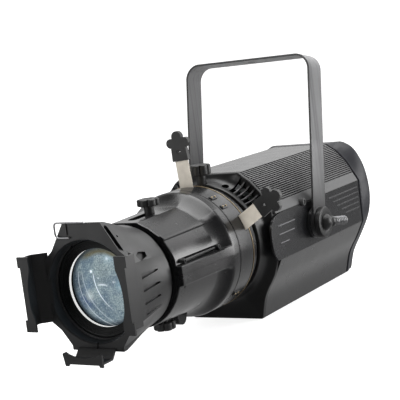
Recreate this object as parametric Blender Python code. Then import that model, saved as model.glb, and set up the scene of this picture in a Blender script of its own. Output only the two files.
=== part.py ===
"""Ellipsoidal spotlight with an LED light engine, four framing shutters and a yoke.

Lengths below are in millimetres, measured from the yoke pivot: the optical axis runs along Y, the
light leaves towards -Y, and +Z is up. placed() turns them into metres and lifts the whole object so
that the housing's flat base lies at z = 0.
"""

import math

import bmesh
import bpy

for old in list(bpy.data.objects):
    bpy.data.objects.remove(old, do_unlink=True)

MM = 0.001
GAP = 0.3  # clearance left between neighbouring pieces
AXIS_HEIGHT = 124.4  # optical axis above the base

# Housing
FRONT_Y = -118.0  # front edge of the finned shell and the tray
SEAM_Y = 178.0  # their rear edge
TOP_Z = 102.5
TOP_HALF = 49.0  # half width of the flat top
SIDE_X = 103.3  # outside of the side covers
SIDE_TOP = 36.4
SIDE_BOTTOM = -33.0
SIDE_WALL = 99.4  # recessed wall behind the side covers
BAND = (96.0, 50.0)  # upper edge of the smooth band above the side covers
FIN_COUNT = 20
FIN_DEPTH = 2.2
LOWER_FLANK = [(88.7, -61.0), (77.0, -79.0), (69.7, -94.6), (63.0, -121.0), (60.0, -AXIS_HEIGHT)]
SHOULDER = [(66.4, 90.3), (83.0, 72.0), BAND]

# Nose and barrel
NOSE_FRONT = -156.0
NOSE_BORE = 72.5
COLLAR_RADIUS = 88.0
RING_FRONT = -213.5
RING_REAR = -178.9
RING_RADIUS = 93.0
RING_EDGE = 0.8  # bevel where the ring and the barrel meet
BARREL_FRONT = -357.0
BARREL_REAR = RING_FRONT - GAP - 2.4
BARREL_BORE = 68.0
BARREL_TAPER = 0.962  # how much narrower the front is than the rear
FLARE_START = -248.0
FOCUS_TRAVEL = 40.0

# Lens tube and colour-frame holder
TUBE_RADIUS = 66.0
TUBE_REAR = -262.0
LENS_RADIUS = 54.7
HOLDER_FRONT = -450.0
HOLDER_REAR = -366.0
HOLDER_NECK = 72.3
LIP_FRONT = -483.0
RAIL_BACK = -459.0
RAIL_X = 85.0
APERTURE = 69.2

# Controls
KNOB_RADIUS = 16.0
LOBES = 10
LOBE_DEPTH = 1.2
NECK_RADIUS = 7.2
SLOT_HALF = 7.8
FOCUS_KNOB_Y = -294.0
LOCK_KNOB_Y = -149.0

# Shutters: direction of the handle in the XZ plane, sideways offset of its neck, plane of the blade, and
# how far it is pushed in at rest.
SHUTTERS = [
    ("top", 94.0, -4.0, -187.6, 0.0),
    ("right", 32.0, -13.0, -186.2, 7.0),
    ("left", 180.0, 0.0, -184.8, 0.0),
    ("bottom", 214.0, 0.0, -183.4, 0.0),
]
BLADE_THICK = 1.0
BLADE_EDGE = 44.0  # inner edge of the blade, that frames the beam
BLADE_HALF = 40.0
BLADE_SHOULDER = 78.0
BLADE_CORNER = 2.0
NECK_HALF = 11.4
NECK_END = 140.0
HANDLE_THICK = 7.0
HANDLE_EYE = 147.0
WINDOW_HALF = 1.1  # half height of the slot in the ring, along the optical axis
WINDOW_PLAY = 1.5

# Yoke
YOKE_TILT = 10.1  # the yoke leans towards the rear at rest
YOKE_HALF = 114.3
YOKE_HEIGHT = 266.0
STRAP_WIDTH = 41.7
STRAP_THICK = 3.1
YOKE_CORNER = 25.0
BOLT_HOLE = 6.5  # radius of the hole that the hanging bolt passes through
PIVOT_RADIUS = 6.0
PIVOT_HOLE = 6.5
DISC_RADIUS = 25.0
DISC_BACK = 4.2  # how far the disc at the end of each arm reaches inside the strap's outer face
DISC_PROUD = 1.3  # and outside it
GRIP_RIBS = 7
GRIP_START = 26.0
GRIP_PITCH = 6.4
GRIP_DROP = 8.5  # the grip points this far below level, in degrees

# Rear panel
PANEL_FRONT = 194.0
PANEL_REAR = 198.0
CAP_FRONT = 182.0
CAP_WALL = 6.5
CAP_REAR = 210.0
FAN_Z = 42.0
FAN_SIZE = 92.0
BUTTON_X = [12.0, 24.0, 36.0, 48.0]
CONTROL_Z = -20.0

MATERIALS = {
    "black_paint": ((0.018, 0.018, 0.02), 0.42, 0.0),
    "cover_paint": ((0.022, 0.022, 0.024), 0.33, 0.0),
    "yoke_paint": ((0.028, 0.028, 0.031), 0.5, 0.0),
    "black_plastic": ((0.012, 0.012, 0.013), 0.45, 0.0),
    "black_rubber": ((0.01, 0.01, 0.01), 0.75, 0.0),
    "blade_steel": ((0.62, 0.57, 0.49), 0.38, 0.9),
    "bright_ring": ((0.86, 0.86, 0.86), 0.2, 0.9),
    "aluminium": ((0.6, 0.61, 0.62), 0.4, 0.95),
    "plated_steel": ((0.45, 0.45, 0.46), 0.35, 0.95),
    "lens_glass": ((0.72, 0.82, 0.88), 0.05, 0.0),
    "display_glass": ((0.02, 0.03, 0.05), 0.12, 0.0),
    "circuit_board": ((0.05, 0.16, 0.08), 0.5, 0.0),
}


def material_for(slot):
    found = bpy.data.materials.get(slot)
    if found:
        return found
    colour, roughness, metallic = MATERIALS[slot]
    made = bpy.data.materials.new(slot)
    made.use_nodes = True
    shader = made.node_tree.nodes["Principled BSDF"]
    shader.inputs["Base Color"].default_value = (*colour, 1.0)
    shader.inputs["Roughness"].default_value = roughness
    shader.inputs["Metallic"].default_value = metallic
    made.diffuse_color = (*colour, 1.0)
    return made


def placed(name, shape, slot, origin=(0.0, 0.0, 0.0), tilt=0.0, smooth=40.0):
    """One object from (points, faces), with its origin at the given point and a turn about X there."""
    points, faces = shape
    mesh = bpy.data.meshes.new(name)
    moved = [tuple((p[i] - origin[i]) * MM for i in range(3)) for p in points]
    mesh.from_pydata(moved, [], faces)
    work = bmesh.new()
    work.from_mesh(mesh)
    bmesh.ops.recalc_face_normals(work, faces=work.faces)
    work.to_mesh(mesh)
    work.free()
    obj = bpy.data.objects.new(name, mesh)
    bpy.context.scene.collection.objects.link(obj)
    obj.location = (origin[0] * MM, origin[1] * MM, (origin[2] + AXIS_HEIGHT) * MM)
    obj.rotation_euler = (math.radians(tilt), 0.0, 0.0)
    if slot:
        mesh.materials.append(material_for(slot))
    mesh.shade_smooth()
    mesh.set_sharp_from_angle(angle=math.radians(smooth))
    return obj


def combine(obj, shape, operation, origin=(0.0, 0.0, 0.0), tilt=0.0):
    """Adds a Boolean with a hidden helper that stands in the same frame as the object."""
    count = len(obj.modifiers)
    helper = placed(f"{obj.name}_{operation.lower()}_{count}", shape, None, origin, tilt)
    helper.hide_render = True
    helper.display_type = "WIRE"
    modifier = obj.modifiers.new(f"{operation.lower()}_{count}", "BOOLEAN")
    modifier.operation = operation
    modifier.solver = "EXACT"
    modifier.object = helper


def cut(obj, shape, origin=(0.0, 0.0, 0.0), tilt=0.0):
    combine(obj, shape, "DIFFERENCE", origin, tilt)


def join(obj, shape, origin=(0.0, 0.0, 0.0), tilt=0.0):
    combine(obj, shape, "UNION", origin, tilt)


def swept(rings, closed=False):
    """Joins rings of equal length. closed leads the last ring back to the first, otherwise both ends are capped."""
    count = len(rings[0])
    points = [p for ring in rings for p in ring]
    faces = []
    pairs = [(i, i + 1) for i in range(len(rings) - 1)]
    if closed:
        pairs.append((len(rings) - 1, 0))
    for a, b in pairs:
        for j in range(count):
            k = (j + 1) % count
            faces.append((a * count + j, a * count + k, b * count + k, b * count + j))
    if not closed:
        faces.append(tuple(range(count)))
        faces.append(tuple(range((len(rings) - 1) * count, len(rings) * count)))
    return points, faces


def together(*shapes):
    points = []
    faces = []
    for more_points, more_faces in shapes:
        start = len(points)
        points.extend(more_points)
        faces.extend(tuple(i + start for i in face) for face in more_faces)
    return points, faces


def on_axis(axis, radial_a, radial_b, along, centre=(0.0, 0.0, 0.0)):
    """A point from two coordinates across an axis and one along it."""
    x, y, z = {
        "X": (along, radial_a, radial_b),
        "Y": (radial_a, along, radial_b),
        "Z": (radial_a, radial_b, along),
    }[axis]
    return x + centre[0], y + centre[1], z + centre[2]


def turned(profile, axis="Y", sides=48, closed=False, centre=(0.0, 0.0, 0.0)):
    """Turns (radius, along) pairs about an axis. closed makes a ring, otherwise flat ends close a solid."""
    rings = []
    for radius, along in profile:
        ring = []
        for i in range(sides):
            angle = 2 * math.pi * i / sides
            ring.append(
                on_axis(axis, radius * math.cos(angle), radius * math.sin(angle), along, centre)
            )
        rings.append(ring)
    return swept(rings, closed)


def block(low, high):
    corners = [(low[0], low[1]), (high[0], low[1]), (high[0], high[1]), (low[0], high[1])]
    return swept([[(x, y, z) for x, y in corners] for z in (low[2], high[2])])


def plate(outline, axis, start, end):
    """A flat outline in the plane across an axis, extended along that axis."""
    return swept([[on_axis(axis, a, b, along) for a, b in outline] for along in (start, end)])


def spun(shape, degrees, centre=(0.0, 0.0)):
    """A shape turned about the optical axis direction, through a point of the XZ plane."""
    angle = math.radians(degrees)
    c = math.cos(angle)
    s = math.sin(angle)
    points = []
    for x, y, z in shape[0]:
        dx = x - centre[0]
        dz = z - centre[1]
        points.append((centre[0] + dx * c - dz * s, y, centre[1] + dx * s + dz * c))
    return points, shape[1]


def pitched(shape, degrees):
    """A shape turned about the X axis through the yoke pivot."""
    angle = math.radians(degrees)
    c = math.cos(angle)
    s = math.sin(angle)
    return [(x, y * c - z * s, y * s + z * c) for x, y, z in shape[0]], shape[1]


def both_sides(half):
    """A closed outline from its right half, listed from the top down."""
    return half + [(-x, z) for x, z in reversed(half)]


def inset(outline, distance):
    """The outline moved inwards by a distance, corner by corner. It runs clockwise."""
    moved = []
    count = len(outline)
    for i in range(count):
        ax, az = outline[i - 1]
        bx, bz = outline[i]
        cx, cz = outline[(i + 1) % count]
        first = (bx - ax, bz - az)
        second = (cx - bx, cz - bz)
        n1 = (first[1] / math.hypot(*first), -first[0] / math.hypot(*first))
        n2 = (second[1] / math.hypot(*second), -second[0] / math.hypot(*second))
        scale = distance / (1 + n1[0] * n2[0] + n1[1] * n2[1])
        moved.append((bx + (n1[0] + n2[0]) * scale, bz + (n1[1] + n2[1]) * scale))
    return moved


def reach(outline, angle):
    """How far an outline lies from the centre at an angle."""
    dx = math.cos(angle)
    dz = math.sin(angle)
    best = 0.0
    for i in range(len(outline)):
        ax, az = outline[i - 1]
        bx, bz = outline[i]
        ex = bx - ax
        ez = bz - az
        across = dx * ez - dz * ex
        if abs(across) < 1e-9:
            continue
        distance = (ax * ez - az * ex) / across
        share = (ax * dz - az * dx) / across
        if distance > 0 and -1e-6 <= share <= 1 + 1e-6:
            best = max(best, distance)
    return best


def ring_angles(outline, sides=38):
    """Evenly spaced angles, with the outline's own corners taking the place of the nearest ones."""
    corners = [math.atan2(z, x) % (2 * math.pi) for x, z in outline]
    spacing = 2 * math.pi / sides
    angles = list(corners)
    for i in range(sides):
        angle = i * spacing
        if all(abs((angle - c + math.pi) % (2 * math.pi) - math.pi) > spacing * 0.4 for c in corners):
            angles.append(angle)
    return sorted(angles)


def outline_ring(outline, angles, y):
    return [(reach(outline, a) * math.cos(a), y, reach(outline, a) * math.sin(a)) for a in angles]


def circle_ring(radius, angles, y):
    return [(radius * math.cos(a), y, radius * math.sin(a)) for a in angles]


def mirrored(shape):
    return [(-x, y, z) for x, y, z in shape[0]], shape[1]


# ---------------------------------------------------------------- housing

HOUSING_HALF = [(TOP_HALF, TOP_Z), *SHOULDER, (SIDE_X, SIDE_TOP), (SIDE_X, SIDE_BOTTOM), *LOWER_FLANK]
HOUSING = both_sides(HOUSING_HALF)


def finned_shoulder():
    """The right shoulder from the smooth band up to the flat top, as square fins along the body."""
    low = math.atan2(BAND[1], BAND[0])
    high = math.atan2(TOP_Z, TOP_HALF)
    low_radius = math.hypot(*BAND)
    high_radius = math.hypot(TOP_HALF, TOP_Z)
    steps = FIN_COUNT + 0.5
    path = []
    for i in range(FIN_COUNT):
        for share, drop in ((i + 0.0, 0.0), (i + 0.5, 0.0), (i + 0.5, FIN_DEPTH), (i + 1.0, FIN_DEPTH)):
            angle = low + (high - low) * share / steps
            radius = low_radius + (high_radius - low_radius) * share / steps - drop
            path.append((radius * math.cos(angle), radius * math.sin(angle)))
    top_angle = low + (high - low) * FIN_COUNT / steps
    top_radius = low_radius + (high_radius - low_radius) * FIN_COUNT / steps
    path.append((top_radius * math.cos(top_angle), top_radius * math.sin(top_angle)))
    path.append((TOP_HALF, TOP_Z))
    return path


outer = [(SIDE_WALL, SIDE_BOTTOM + GAP), (SIDE_WALL, SIDE_TOP - GAP), (SIDE_X, SIDE_TOP)]
outer += finned_shoulder()
inner = [(47.0, 98.5), (64.0, 85.5), (80.0, 68.0), (92.0, 46.0), (95.9, 33.0), (95.9, SIDE_BOTTOM + GAP)]
shell_outline = outer + [(-x, z) for x, z in reversed(outer)]
shell_outline += [(-x, z) for x, z in reversed(inner)] + inner
placed("housing_shell", plate(shell_outline, "Y", FRONT_Y, SEAM_Y), "black_paint", smooth=20.0)

tray_outer = [(SIDE_X, SIDE_BOTTOM - GAP), *LOWER_FLANK]
tray_inner = [
    (99.9, SIDE_BOTTOM - GAP),
    (86.0, -59.5),
    (74.2, -77.5),
    (66.6, -93.8),
    (60.2, -119.0),
    (58.0, -121.4),
]
tray_outline = tray_outer + [(-x, z) for x, z in reversed(tray_outer)]
tray_outline += [(-x, z) for x, z in tray_inner] + list(reversed(tray_inner))
placed("lower_tray", plate(tray_outline, "Y", FRONT_Y, SEAM_Y), "black_paint", smooth=20.0)

COVER_OUTLINE = [
    (SEAM_Y, SIDE_BOTTOM),
    (SEAM_Y, SIDE_TOP - GAP),
    (-98.0, SIDE_TOP - GAP),
    (-118.0, 34.0),
    (-132.0, 27.5),
    (-138.0, 17.0),
    (-139.0, 2.0),
    (-137.0, -14.0),
    (-131.0, -28.0),
    (-126.0, SIDE_BOTTOM),
]
COVER_LINES = [(-116.0, -56.0, 16.0), (-116.0, -60.0, 1.5), (-113.0, -84.0, -12.0)]
COVER_LINES += [(60.0, 172.0, 26.0), (78.0, 172.0, 12.0), (96.0, 172.0, -2.0)]
for side, turn in (("right", lambda shape: shape), ("left", mirrored)):
    cover = placed(
        f"side_cover_{side}",
        turn(plate(COVER_OUTLINE, "X", SIDE_WALL + GAP, SIDE_X)),
        "cover_paint",
    )
    lines = [
        block((SIDE_X - 1.0, start, z - 0.8), (SIDE_X + 0.7, end, z + 0.8))
        for start, end, z in COVER_LINES
    ]
    join(cover, turn(together(*lines)))
    recess = [(-48.0, -20.0), (-44.0, -24.0), (20.0, -24.0), (24.0, -20.0), (24.0, 20.0), (20.0, 24.0)]
    recess += [(-44.0, 24.0), (-48.0, 20.0)]
    cut(cover, turn(plate(recess, "X", SIDE_WALL - 3.0, SIDE_X + 4.0)))

# The front casting blends from the round nose to the housing's outline.
front_half = [(TOP_HALF, TOP_Z - 0.4), *[(x - 0.4, z - 0.3) for x, z in SHOULDER]]
front_half += [(SIDE_WALL - GAP, 42.0), (SIDE_WALL - GAP, -37.0)]
front_half += [(x, max(z, -AXIS_HEIGHT)) for x, z in LOWER_FLANK]
front_outline = both_sides(front_half)
angles = ring_angles(front_outline)
bezel_rings = [
    circle_ring(90.0, angles, NOSE_FRONT),
    circle_ring(98.0, angles, -134.0),
    outline_ring(inset(front_outline, 2.5), angles, -127.5),
    outline_ring(front_outline, angles, -124.5),
    outline_ring(front_outline, angles, FRONT_Y - GAP),
    outline_ring(inset(front_outline, 4.0), angles, FRONT_Y - GAP),
    outline_ring(inset(front_outline, 5.0), angles, -121.5),
    circle_ring(92.0, angles, -133.0),
    circle_ring(87.0, angles, -148.0),
    circle_ring(NOSE_BORE, angles, -149.0),
    circle_ring(NOSE_BORE, angles, NOSE_FRONT),
]
bezel = placed("front_bezel", swept(bezel_rings, closed=True), "black_paint", smooth=35.0)
slots = []
for angle in (34.0, 40.0, 46.0, 52.0, 58.0):
    slot = block((80.0, -150.0, -1.9), (118.0, -123.0, 1.9))
    slots.append(spun(slot, angle))
    slots.append(spun(slot, 180.0 - angle))
cut(bezel, together(*slots))
hole = turned([(6.0, 70.0), (6.0, 120.0)], "X", 20, centre=(0.0, -143.0, 0.0))
cut(bezel, together(spun(hole, 68.0), spun(hole, 112.0)))
cut(bezel, turned([(8.6, 60.0), (8.6, 120.0)], "Z", 24, centre=(0.0, LOCK_KNOB_Y, 0.0)))

FLARED_HALF = [
    (68.0, 102.3),
    (86.0, 91.5),
    (98.5, 71.5),
    (106.5, 47.5),
    (110.2, 16.0),
    (107.8, -11.0),
    (101.0, -33.0),
    (87.5, -58.5),
    (75.0, -79.5),
    (67.0, -95.5),
    (60.0, -121.0),
    (57.5, -AXIS_HEIGHT),
]
flared = both_sides(FLARED_HALF)
angles = ring_angles(HOUSING, 40)
cap_rings = [
    outline_ring(inset(HOUSING, 0.6), angles, CAP_FRONT),
    outline_ring(HOUSING, angles, CAP_FRONT + 2.0),
    outline_ring(HOUSING, angles, CAP_FRONT + 5.0),
    outline_ring(flared, angles, CAP_REAR - 4.0),
    outline_ring(inset(flared, 2.5), angles, CAP_REAR),
    outline_ring(inset(HOUSING, CAP_WALL), angles, CAP_REAR),
    outline_ring(inset(HOUSING, CAP_WALL), angles, CAP_FRONT),
]
placed("rear_cap", swept(cap_rings, closed=True), "cover_paint", smooth=25.0)
gasket_rings = [
    outline_ring(inset(HOUSING, depth), angles, y)
    for depth, y in (
        (1.8, SEAM_Y + GAP),
        (1.8, CAP_FRONT - GAP),
        (6.0, CAP_FRONT - GAP),
        (6.0, SEAM_Y + GAP),
    )
]
placed("seam_gasket", swept(gasket_rings, closed=True), "black_rubber")

# ---------------------------------------------------------------- rear panel

panel = placed(
    "rear_panel",
    swept([outline_ring(inset(HOUSING, CAP_WALL + 0.5), angles, y) for y in (PANEL_FRONT, PANEL_REAR)]),
    "black_paint",
)
air_slots = []
for i in range(9):
    z = FAN_Z + (i - 4) * 8.5
    half = math.sqrt(41.0**2 - (z - FAN_Z) ** 2)
    air_slots.append(block((-half, PANEL_FRONT - 3.0, z - 2.6), (half, PANEL_REAR + 3.0, z + 2.6)))
cut(panel, together(*air_slots))
SOCKETS = [
    ("power_inlet", -30.0, -58.0, 12.4),
    ("power_outlet", 30.0, -58.0, 12.4),
    ("data_input", -26.0, -96.0, 10.4),
    ("data_output", 26.0, -96.0, 10.4),
]
holes = [
    turned([(r + 0.4, PANEL_FRONT - 3.0), (r + 0.4, PANEL_REAR + 3.0)], "Y", 16, centre=(x, 0.0, z))
    for _, x, z, r in SOCKETS
]
holes += [
    turned([(4.2, PANEL_FRONT - 3.0), (4.2, PANEL_REAR + 3.0)], "Y", 12, centre=(x, 0.0, CONTROL_Z))
    for x in BUTTON_X
]
cut(panel, together(*holes))
for name, x, z, radius in SOCKETS:
    face = PANEL_REAR + GAP
    socket = turned(
        [
            (radius, face - 18.0),
            (radius, face),
            (radius + 2.6, face),
            (radius + 2.6, face + 3.2),
            (radius - 3.0, face + 3.2),
            (radius - 3.0, face - 8.0),
        ],
        "Y",
        16,
        centre=(x, 0.0, z),
    )
    placed(name, socket, "black_plastic" if name.startswith("power") else "plated_steel")
for i, x in enumerate(BUTTON_X):
    button = turned(
        [
            (5.2, PANEL_FRONT - 4.5),
            (5.2, PANEL_FRONT - GAP),
            (3.6, PANEL_FRONT - GAP),
            (3.6, PANEL_REAR + 2.4),
            (3.1, PANEL_REAR + 2.9),
        ],
        "Y",
        12,
        centre=(x, 0.0, CONTROL_Z),
    )
    placed(f"menu_button_{i + 1}", button, "black_rubber", origin=(x, PANEL_REAR, CONTROL_Z))
display = block(
    (-42.0, PANEL_REAR + GAP, CONTROL_Z - 8.5), (-2.0, PANEL_REAR + GAP + 1.4, CONTROL_Z + 8.5)
)
placed("display_window", display, "display_glass")

FAN_FRONT = 168.0
FAN_REAR = PANEL_FRONT - GAP
half = FAN_SIZE / 2
fan = placed(
    "fan_frame",
    block((-half, FAN_FRONT, FAN_Z - half), (half, FAN_REAR, FAN_Z + half)),
    "black_plastic",
)
bore = turned([(43.0, FAN_FRONT - 3.0), (43.0, FAN_REAR + 3.0)], "Y", 32, centre=(0.0, 0.0, FAN_Z))
cut(fan, bore)
join(fan, block((-44.5, FAN_REAR - 3.5, FAN_Z - 2.0), (44.5, FAN_REAR - 0.5, FAN_Z + 2.0)))
join(fan, block((-2.2, FAN_REAR - 3.2, FAN_Z - 44.5), (2.2, FAN_REAR - 0.7, FAN_Z + 44.5)))
join(fan, turned([(15.0, FAN_REAR - 4.0), (15.0, FAN_REAR - 0.3)], "Y", 20, centre=(0.0, 0.0, FAN_Z)))
rotor_origin = (0.0, FAN_FRONT + 10.0, FAN_Z)
rotor = placed(
    "fan_rotor",
    turned([(14.5, FAN_FRONT + 2.0), (15.5, FAN_REAR - 4.6)], "Y", 28, centre=(0.0, 0.0, FAN_Z)),
    "black_plastic",
    origin=rotor_origin,
)
blades = []
for i in range(7):
    pitch = [
        [(13.0, FAN_FRONT + 4.0, -5.0), (13.0, FAN_FRONT + 5.8, -5.0)],
        [(13.0, FAN_FRONT + 17.0, 4.0), (13.0, FAN_FRONT + 15.2, 4.0)],
        [(41.0, FAN_FRONT + 6.0, -9.0), (41.0, FAN_FRONT + 7.8, -9.0)],
        [(41.0, FAN_FRONT + 15.0, 8.0), (41.0, FAN_FRONT + 13.2, 8.0)],
    ]
    blade = swept([pitch[0] + pitch[1], pitch[2] + pitch[3]])
    raised = ([(x, y, z + FAN_Z) for x, y, z in blade[0]], blade[1])
    blades.append(spun(raised, 360.0 * i / 7, centre=(0.0, FAN_Z)))
join(rotor, together(*blades), origin=rotor_origin)

# ---------------------------------------------------------------- light engine

SINK_HALF = 62.0
SINK_FINS = 11
SINK_FIN = 2.5
SINK_PITCH = 12.15
comb = [(-SINK_HALF, -38.0), (SINK_HALF, -38.0)]
for i in range(SINK_FINS):
    right = SINK_HALF - SINK_PITCH * i
    comb += [(right, 150.0), (right - SINK_FIN, 150.0)]
    if i < SINK_FINS - 1:
        comb += [(right - SINK_FIN, -28.0), (right - SINK_PITCH, -28.0)]
placed("heat_sink", plate(comb, "Z", -48.0, 78.0), "aluminium")
board = placed("led_board", block((-34.0, -42.3, -34.0), (34.0, -38.3, 34.0)), "circuit_board")
join(board, turned([(13.0, -45.0), (14.0, -40.0)], "Y", 24))
collimator = [(38.0, -116.0), (41.0, -116.0), (41.0, -47.0), (38.0, -47.0)]
placed("collimator_tube", turned(collimator, "Y", 28, closed=True), "aluminium")
dome = [(37.6, -100.0), (37.6, -104.0), (33.0, -110.0), (24.0, -115.0), (12.0, -118.0), (4.0, -118.8)]
placed("condenser_lens", turned(dome, "Y", 28), "lens_glass")
placed("driver_box", block((-50.0, -60.0, -118.0), (50.0, 130.0, -68.0)), "plated_steel")

# ---------------------------------------------------------------- barrel

UPPER_SECTION = [
    (78.6, 0.2),
    (88.0, 0.2),
    (88.0, 12.5),
    (79.0, 12.8),
    (78.0, 21.5),
    (71.0, 37.0),
    (64.0, 47.5),
    (63.0, 51.5),
    (57.5, 56.5),
    (53.0, 58.0),
    (40.0, 67.0),
    (24.0, 74.5),
    (21.0, 76.0),
]
LOWER_SECTION = [
    (78.6, 0.2),
    (88.0, 0.2),
    (88.0, 15.0),
    (80.0, 17.5),
    (76.0, 28.0),
    (71.0, 38.0),
    (64.0, 47.5),
    (58.0, 54.5),
    (50.0, 61.5),
    (42.0, 67.0),
    (34.0, 71.0),
    (24.0, 75.0),
    (14.0, 77.5),
]


def refined(path, most=9.0):
    """The path with points added wherever two neighbours lie further apart than an angle about the axis."""
    out = [path[0]]
    for (ax, az), (bx, bz) in zip(path, path[1:]):
        span = abs(math.degrees(math.atan2(bz, bx) - math.atan2(az, ax)))
        pieces = max(1, math.ceil(span / most))
        for i in range(1, pieces + 1):
            share = i / pieces
            out.append((ax + (bx - ax) * share, az + (bz - az) * share))
    return out


def barrel_half(section, up):
    """A half casting: ribbed outside, round bore, flaring to the shutter ring's diameter."""
    path = refined(section + [(-x, z) for x, z in reversed(section)])
    turns = [math.atan2(z, x) for x, z in path]
    rings = []

    def arc_ring(radius, y):
        low = math.asin(GAP / radius)
        held = [min(max(t, low), math.pi - low) for t in turns]
        return [(radius * math.cos(t), y, up * radius * math.sin(t)) for t in held]

    def path_ring(scale, y):
        return [(x * scale, y, up * max(z * scale, GAP)) for x, z in path]

    outer_rings = [
        path_ring(BARREL_TAPER - 0.015, BARREL_FRONT),
        path_ring(BARREL_TAPER, BARREL_FRONT + 2.0),
        path_ring(1.0, FLARE_START),
        arc_ring(RING_RADIUS - RING_EDGE, BARREL_REAR - 4.0),
        arc_ring(RING_RADIUS, BARREL_REAR - 3.0),
        arc_ring(RING_RADIUS, BARREL_REAR),
    ]
    for ring in outer_rings:
        rings.append(ring + list(reversed(arc_ring(BARREL_BORE, ring[0][1]))))
    return swept(rings)


def focus_slot(up):
    """The slot that a focus knob's neck slides along, rounded at both ends."""
    front = FOCUS_KNOB_Y - FOCUS_TRAVEL
    rear = FOCUS_KNOB_Y
    outline = []
    for i in range(9):
        angle = math.pi * i / 8
        outline.append((SLOT_HALF * math.cos(angle), rear + SLOT_HALF * math.sin(angle)))
    for i in range(9):
        angle = math.pi + math.pi * i / 8
        outline.append((SLOT_HALF * math.cos(angle), front + SLOT_HALF * math.sin(angle)))
    low, high = sorted((up * 50.0, up * 100.0))
    return plate(outline, "Z", low, high)


upper = placed("barrel_upper", barrel_half(UPPER_SECTION, 1), "black_paint", smooth=25.0)
cut(upper, focus_slot(1))
channel = block((74.5, -344.0, 14.2), (90.0, -248.0, 20.2))
cut(upper, together(channel, mirrored(channel)))
lower = placed("barrel_lower", barrel_half(LOWER_SECTION, -1), "black_paint", smooth=25.0)
cut(lower, focus_slot(-1))
lug = [(-268.0, -72.0), (-268.0, -84.0), (-262.0, -92.0), (-254.0, -97.0), (-247.0, -95.0), (-244.0, -80.0)]
lug += [(-244.0, -72.0)]
join(lower, plate(lug, "X", -7.0, 7.0))

ring_profile = [
    (RING_RADIUS - RING_EDGE, RING_FRONT),
    (RING_RADIUS, RING_FRONT + RING_EDGE),
    (RING_RADIUS, RING_REAR),
    (90.0, RING_REAR),
    (90.0, -190.0),
    (50.0, -190.0),
    (50.0, -194.0),
    (86.0, -194.0),
    (86.0, RING_FRONT),
]
shutter_ring = placed("shutter_ring", turned(ring_profile, sides=44, closed=True), "black_paint")


# Each shutter is drawn with its handle along +X, then spun to its own direction.
for _, degrees, offset, y, _ in SHUTTERS:
    low = offset - NECK_HALF - WINDOW_PLAY
    high = offset + NECK_HALF + WINDOW_PLAY
    window = block((70.0, y - WINDOW_HALF, low), (RING_RADIUS + 6.0, y + WINDOW_HALF, high))
    cut(shutter_ring, spun(window, degrees))

shim = [(93.6, -178.6), (93.6, -177.4), (60.0, -177.4), (60.0, -178.6)]
placed("shutter_shim", turned(shim, sides=44, closed=True), "blade_steel")
gate = [(38.0, -181.7), (89.6, -181.7), (89.6, -179.2), (38.0, -179.2)]
placed("gate_plate", turned(gate, sides=36, closed=True), "plated_steel")
collar = [
    (COLLAR_RADIUS, -177.0),
    (COLLAR_RADIUS, -160.0),
    (COLLAR_RADIUS - 2.0, -158.0),
    (NOSE_BORE - 0.5, -158.0),
    (NOSE_BORE - 0.5, -148.6),
    (76.5, -148.6),
    (76.5, -142.0),
    (58.0, -142.0),
    (58.0, -177.0),
]
placed("barrel_collar", turned(collar, sides=40, closed=True), "black_paint")

HANDLE = [
    (133.0, 14.6),
    (157.0, 13.8),
    (159.0, 17.6),
    (163.0, 19.0),
    (167.5, 17.8),
    (170.0, 14.5),
    (170.5, 9.6),
    (174.6, 8.4),
    (177.6, 4.0),
]
HANDLE = HANDLE + [(u, -v) for u, v in reversed(HANDLE)]
for name, degrees, offset, y, pushed in SHUTTERS:
    start = (0.0, y, 0.0)
    corner = BLADE_HALF - BLADE_CORNER
    outline = [
        (BLADE_EDGE, -BLADE_HALF),
        (BLADE_SHOULDER - BLADE_CORNER, -BLADE_HALF),
        (BLADE_SHOULDER, min(-corner, offset - NECK_HALF - BLADE_CORNER)),
        (BLADE_SHOULDER, offset - NECK_HALF),
        (NECK_END, offset - NECK_HALF),
        (NECK_END, offset + NECK_HALF),
        (BLADE_SHOULDER, offset + NECK_HALF),
        (BLADE_SHOULDER, corner),
        (BLADE_SHOULDER - BLADE_CORNER, BLADE_HALF),
        (BLADE_EDGE, BLADE_HALF),
    ]
    outline = [(u - pushed, v) for u, v in outline]
    blade = plate(outline, "Y", y - BLADE_THICK / 2, y + BLADE_THICK / 2)
    placed(f"shutter_blade_{name}", spun(blade, degrees), "blade_steel", origin=start)
    paddle_outline = [(u - pushed, v + offset) for u, v in HANDLE]
    paddle = plate(paddle_outline, "Y", y - HANDLE_THICK / 2, y + HANDLE_THICK / 2)
    handle = placed(f"shutter_handle_{name}", spun(paddle, degrees), "black_plastic", origin=start)
    pocket = block(
        (NECK_END - 10.0 - pushed, y - BLADE_THICK / 2 - GAP, offset - NECK_HALF - GAP),
        (NECK_END + GAP - pushed, y + BLADE_THICK / 2 + GAP, offset + NECK_HALF + GAP),
    )
    cut(handle, spun(pocket, degrees), origin=start)
    eye = turned([(2.4, y - 6.0), (2.4, y + 6.0)], "Y", 16, centre=(HANDLE_EYE - pushed, 0.0, offset))
    cut(handle, spun(eye, degrees), origin=start)

# ---------------------------------------------------------------- lens tube

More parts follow.
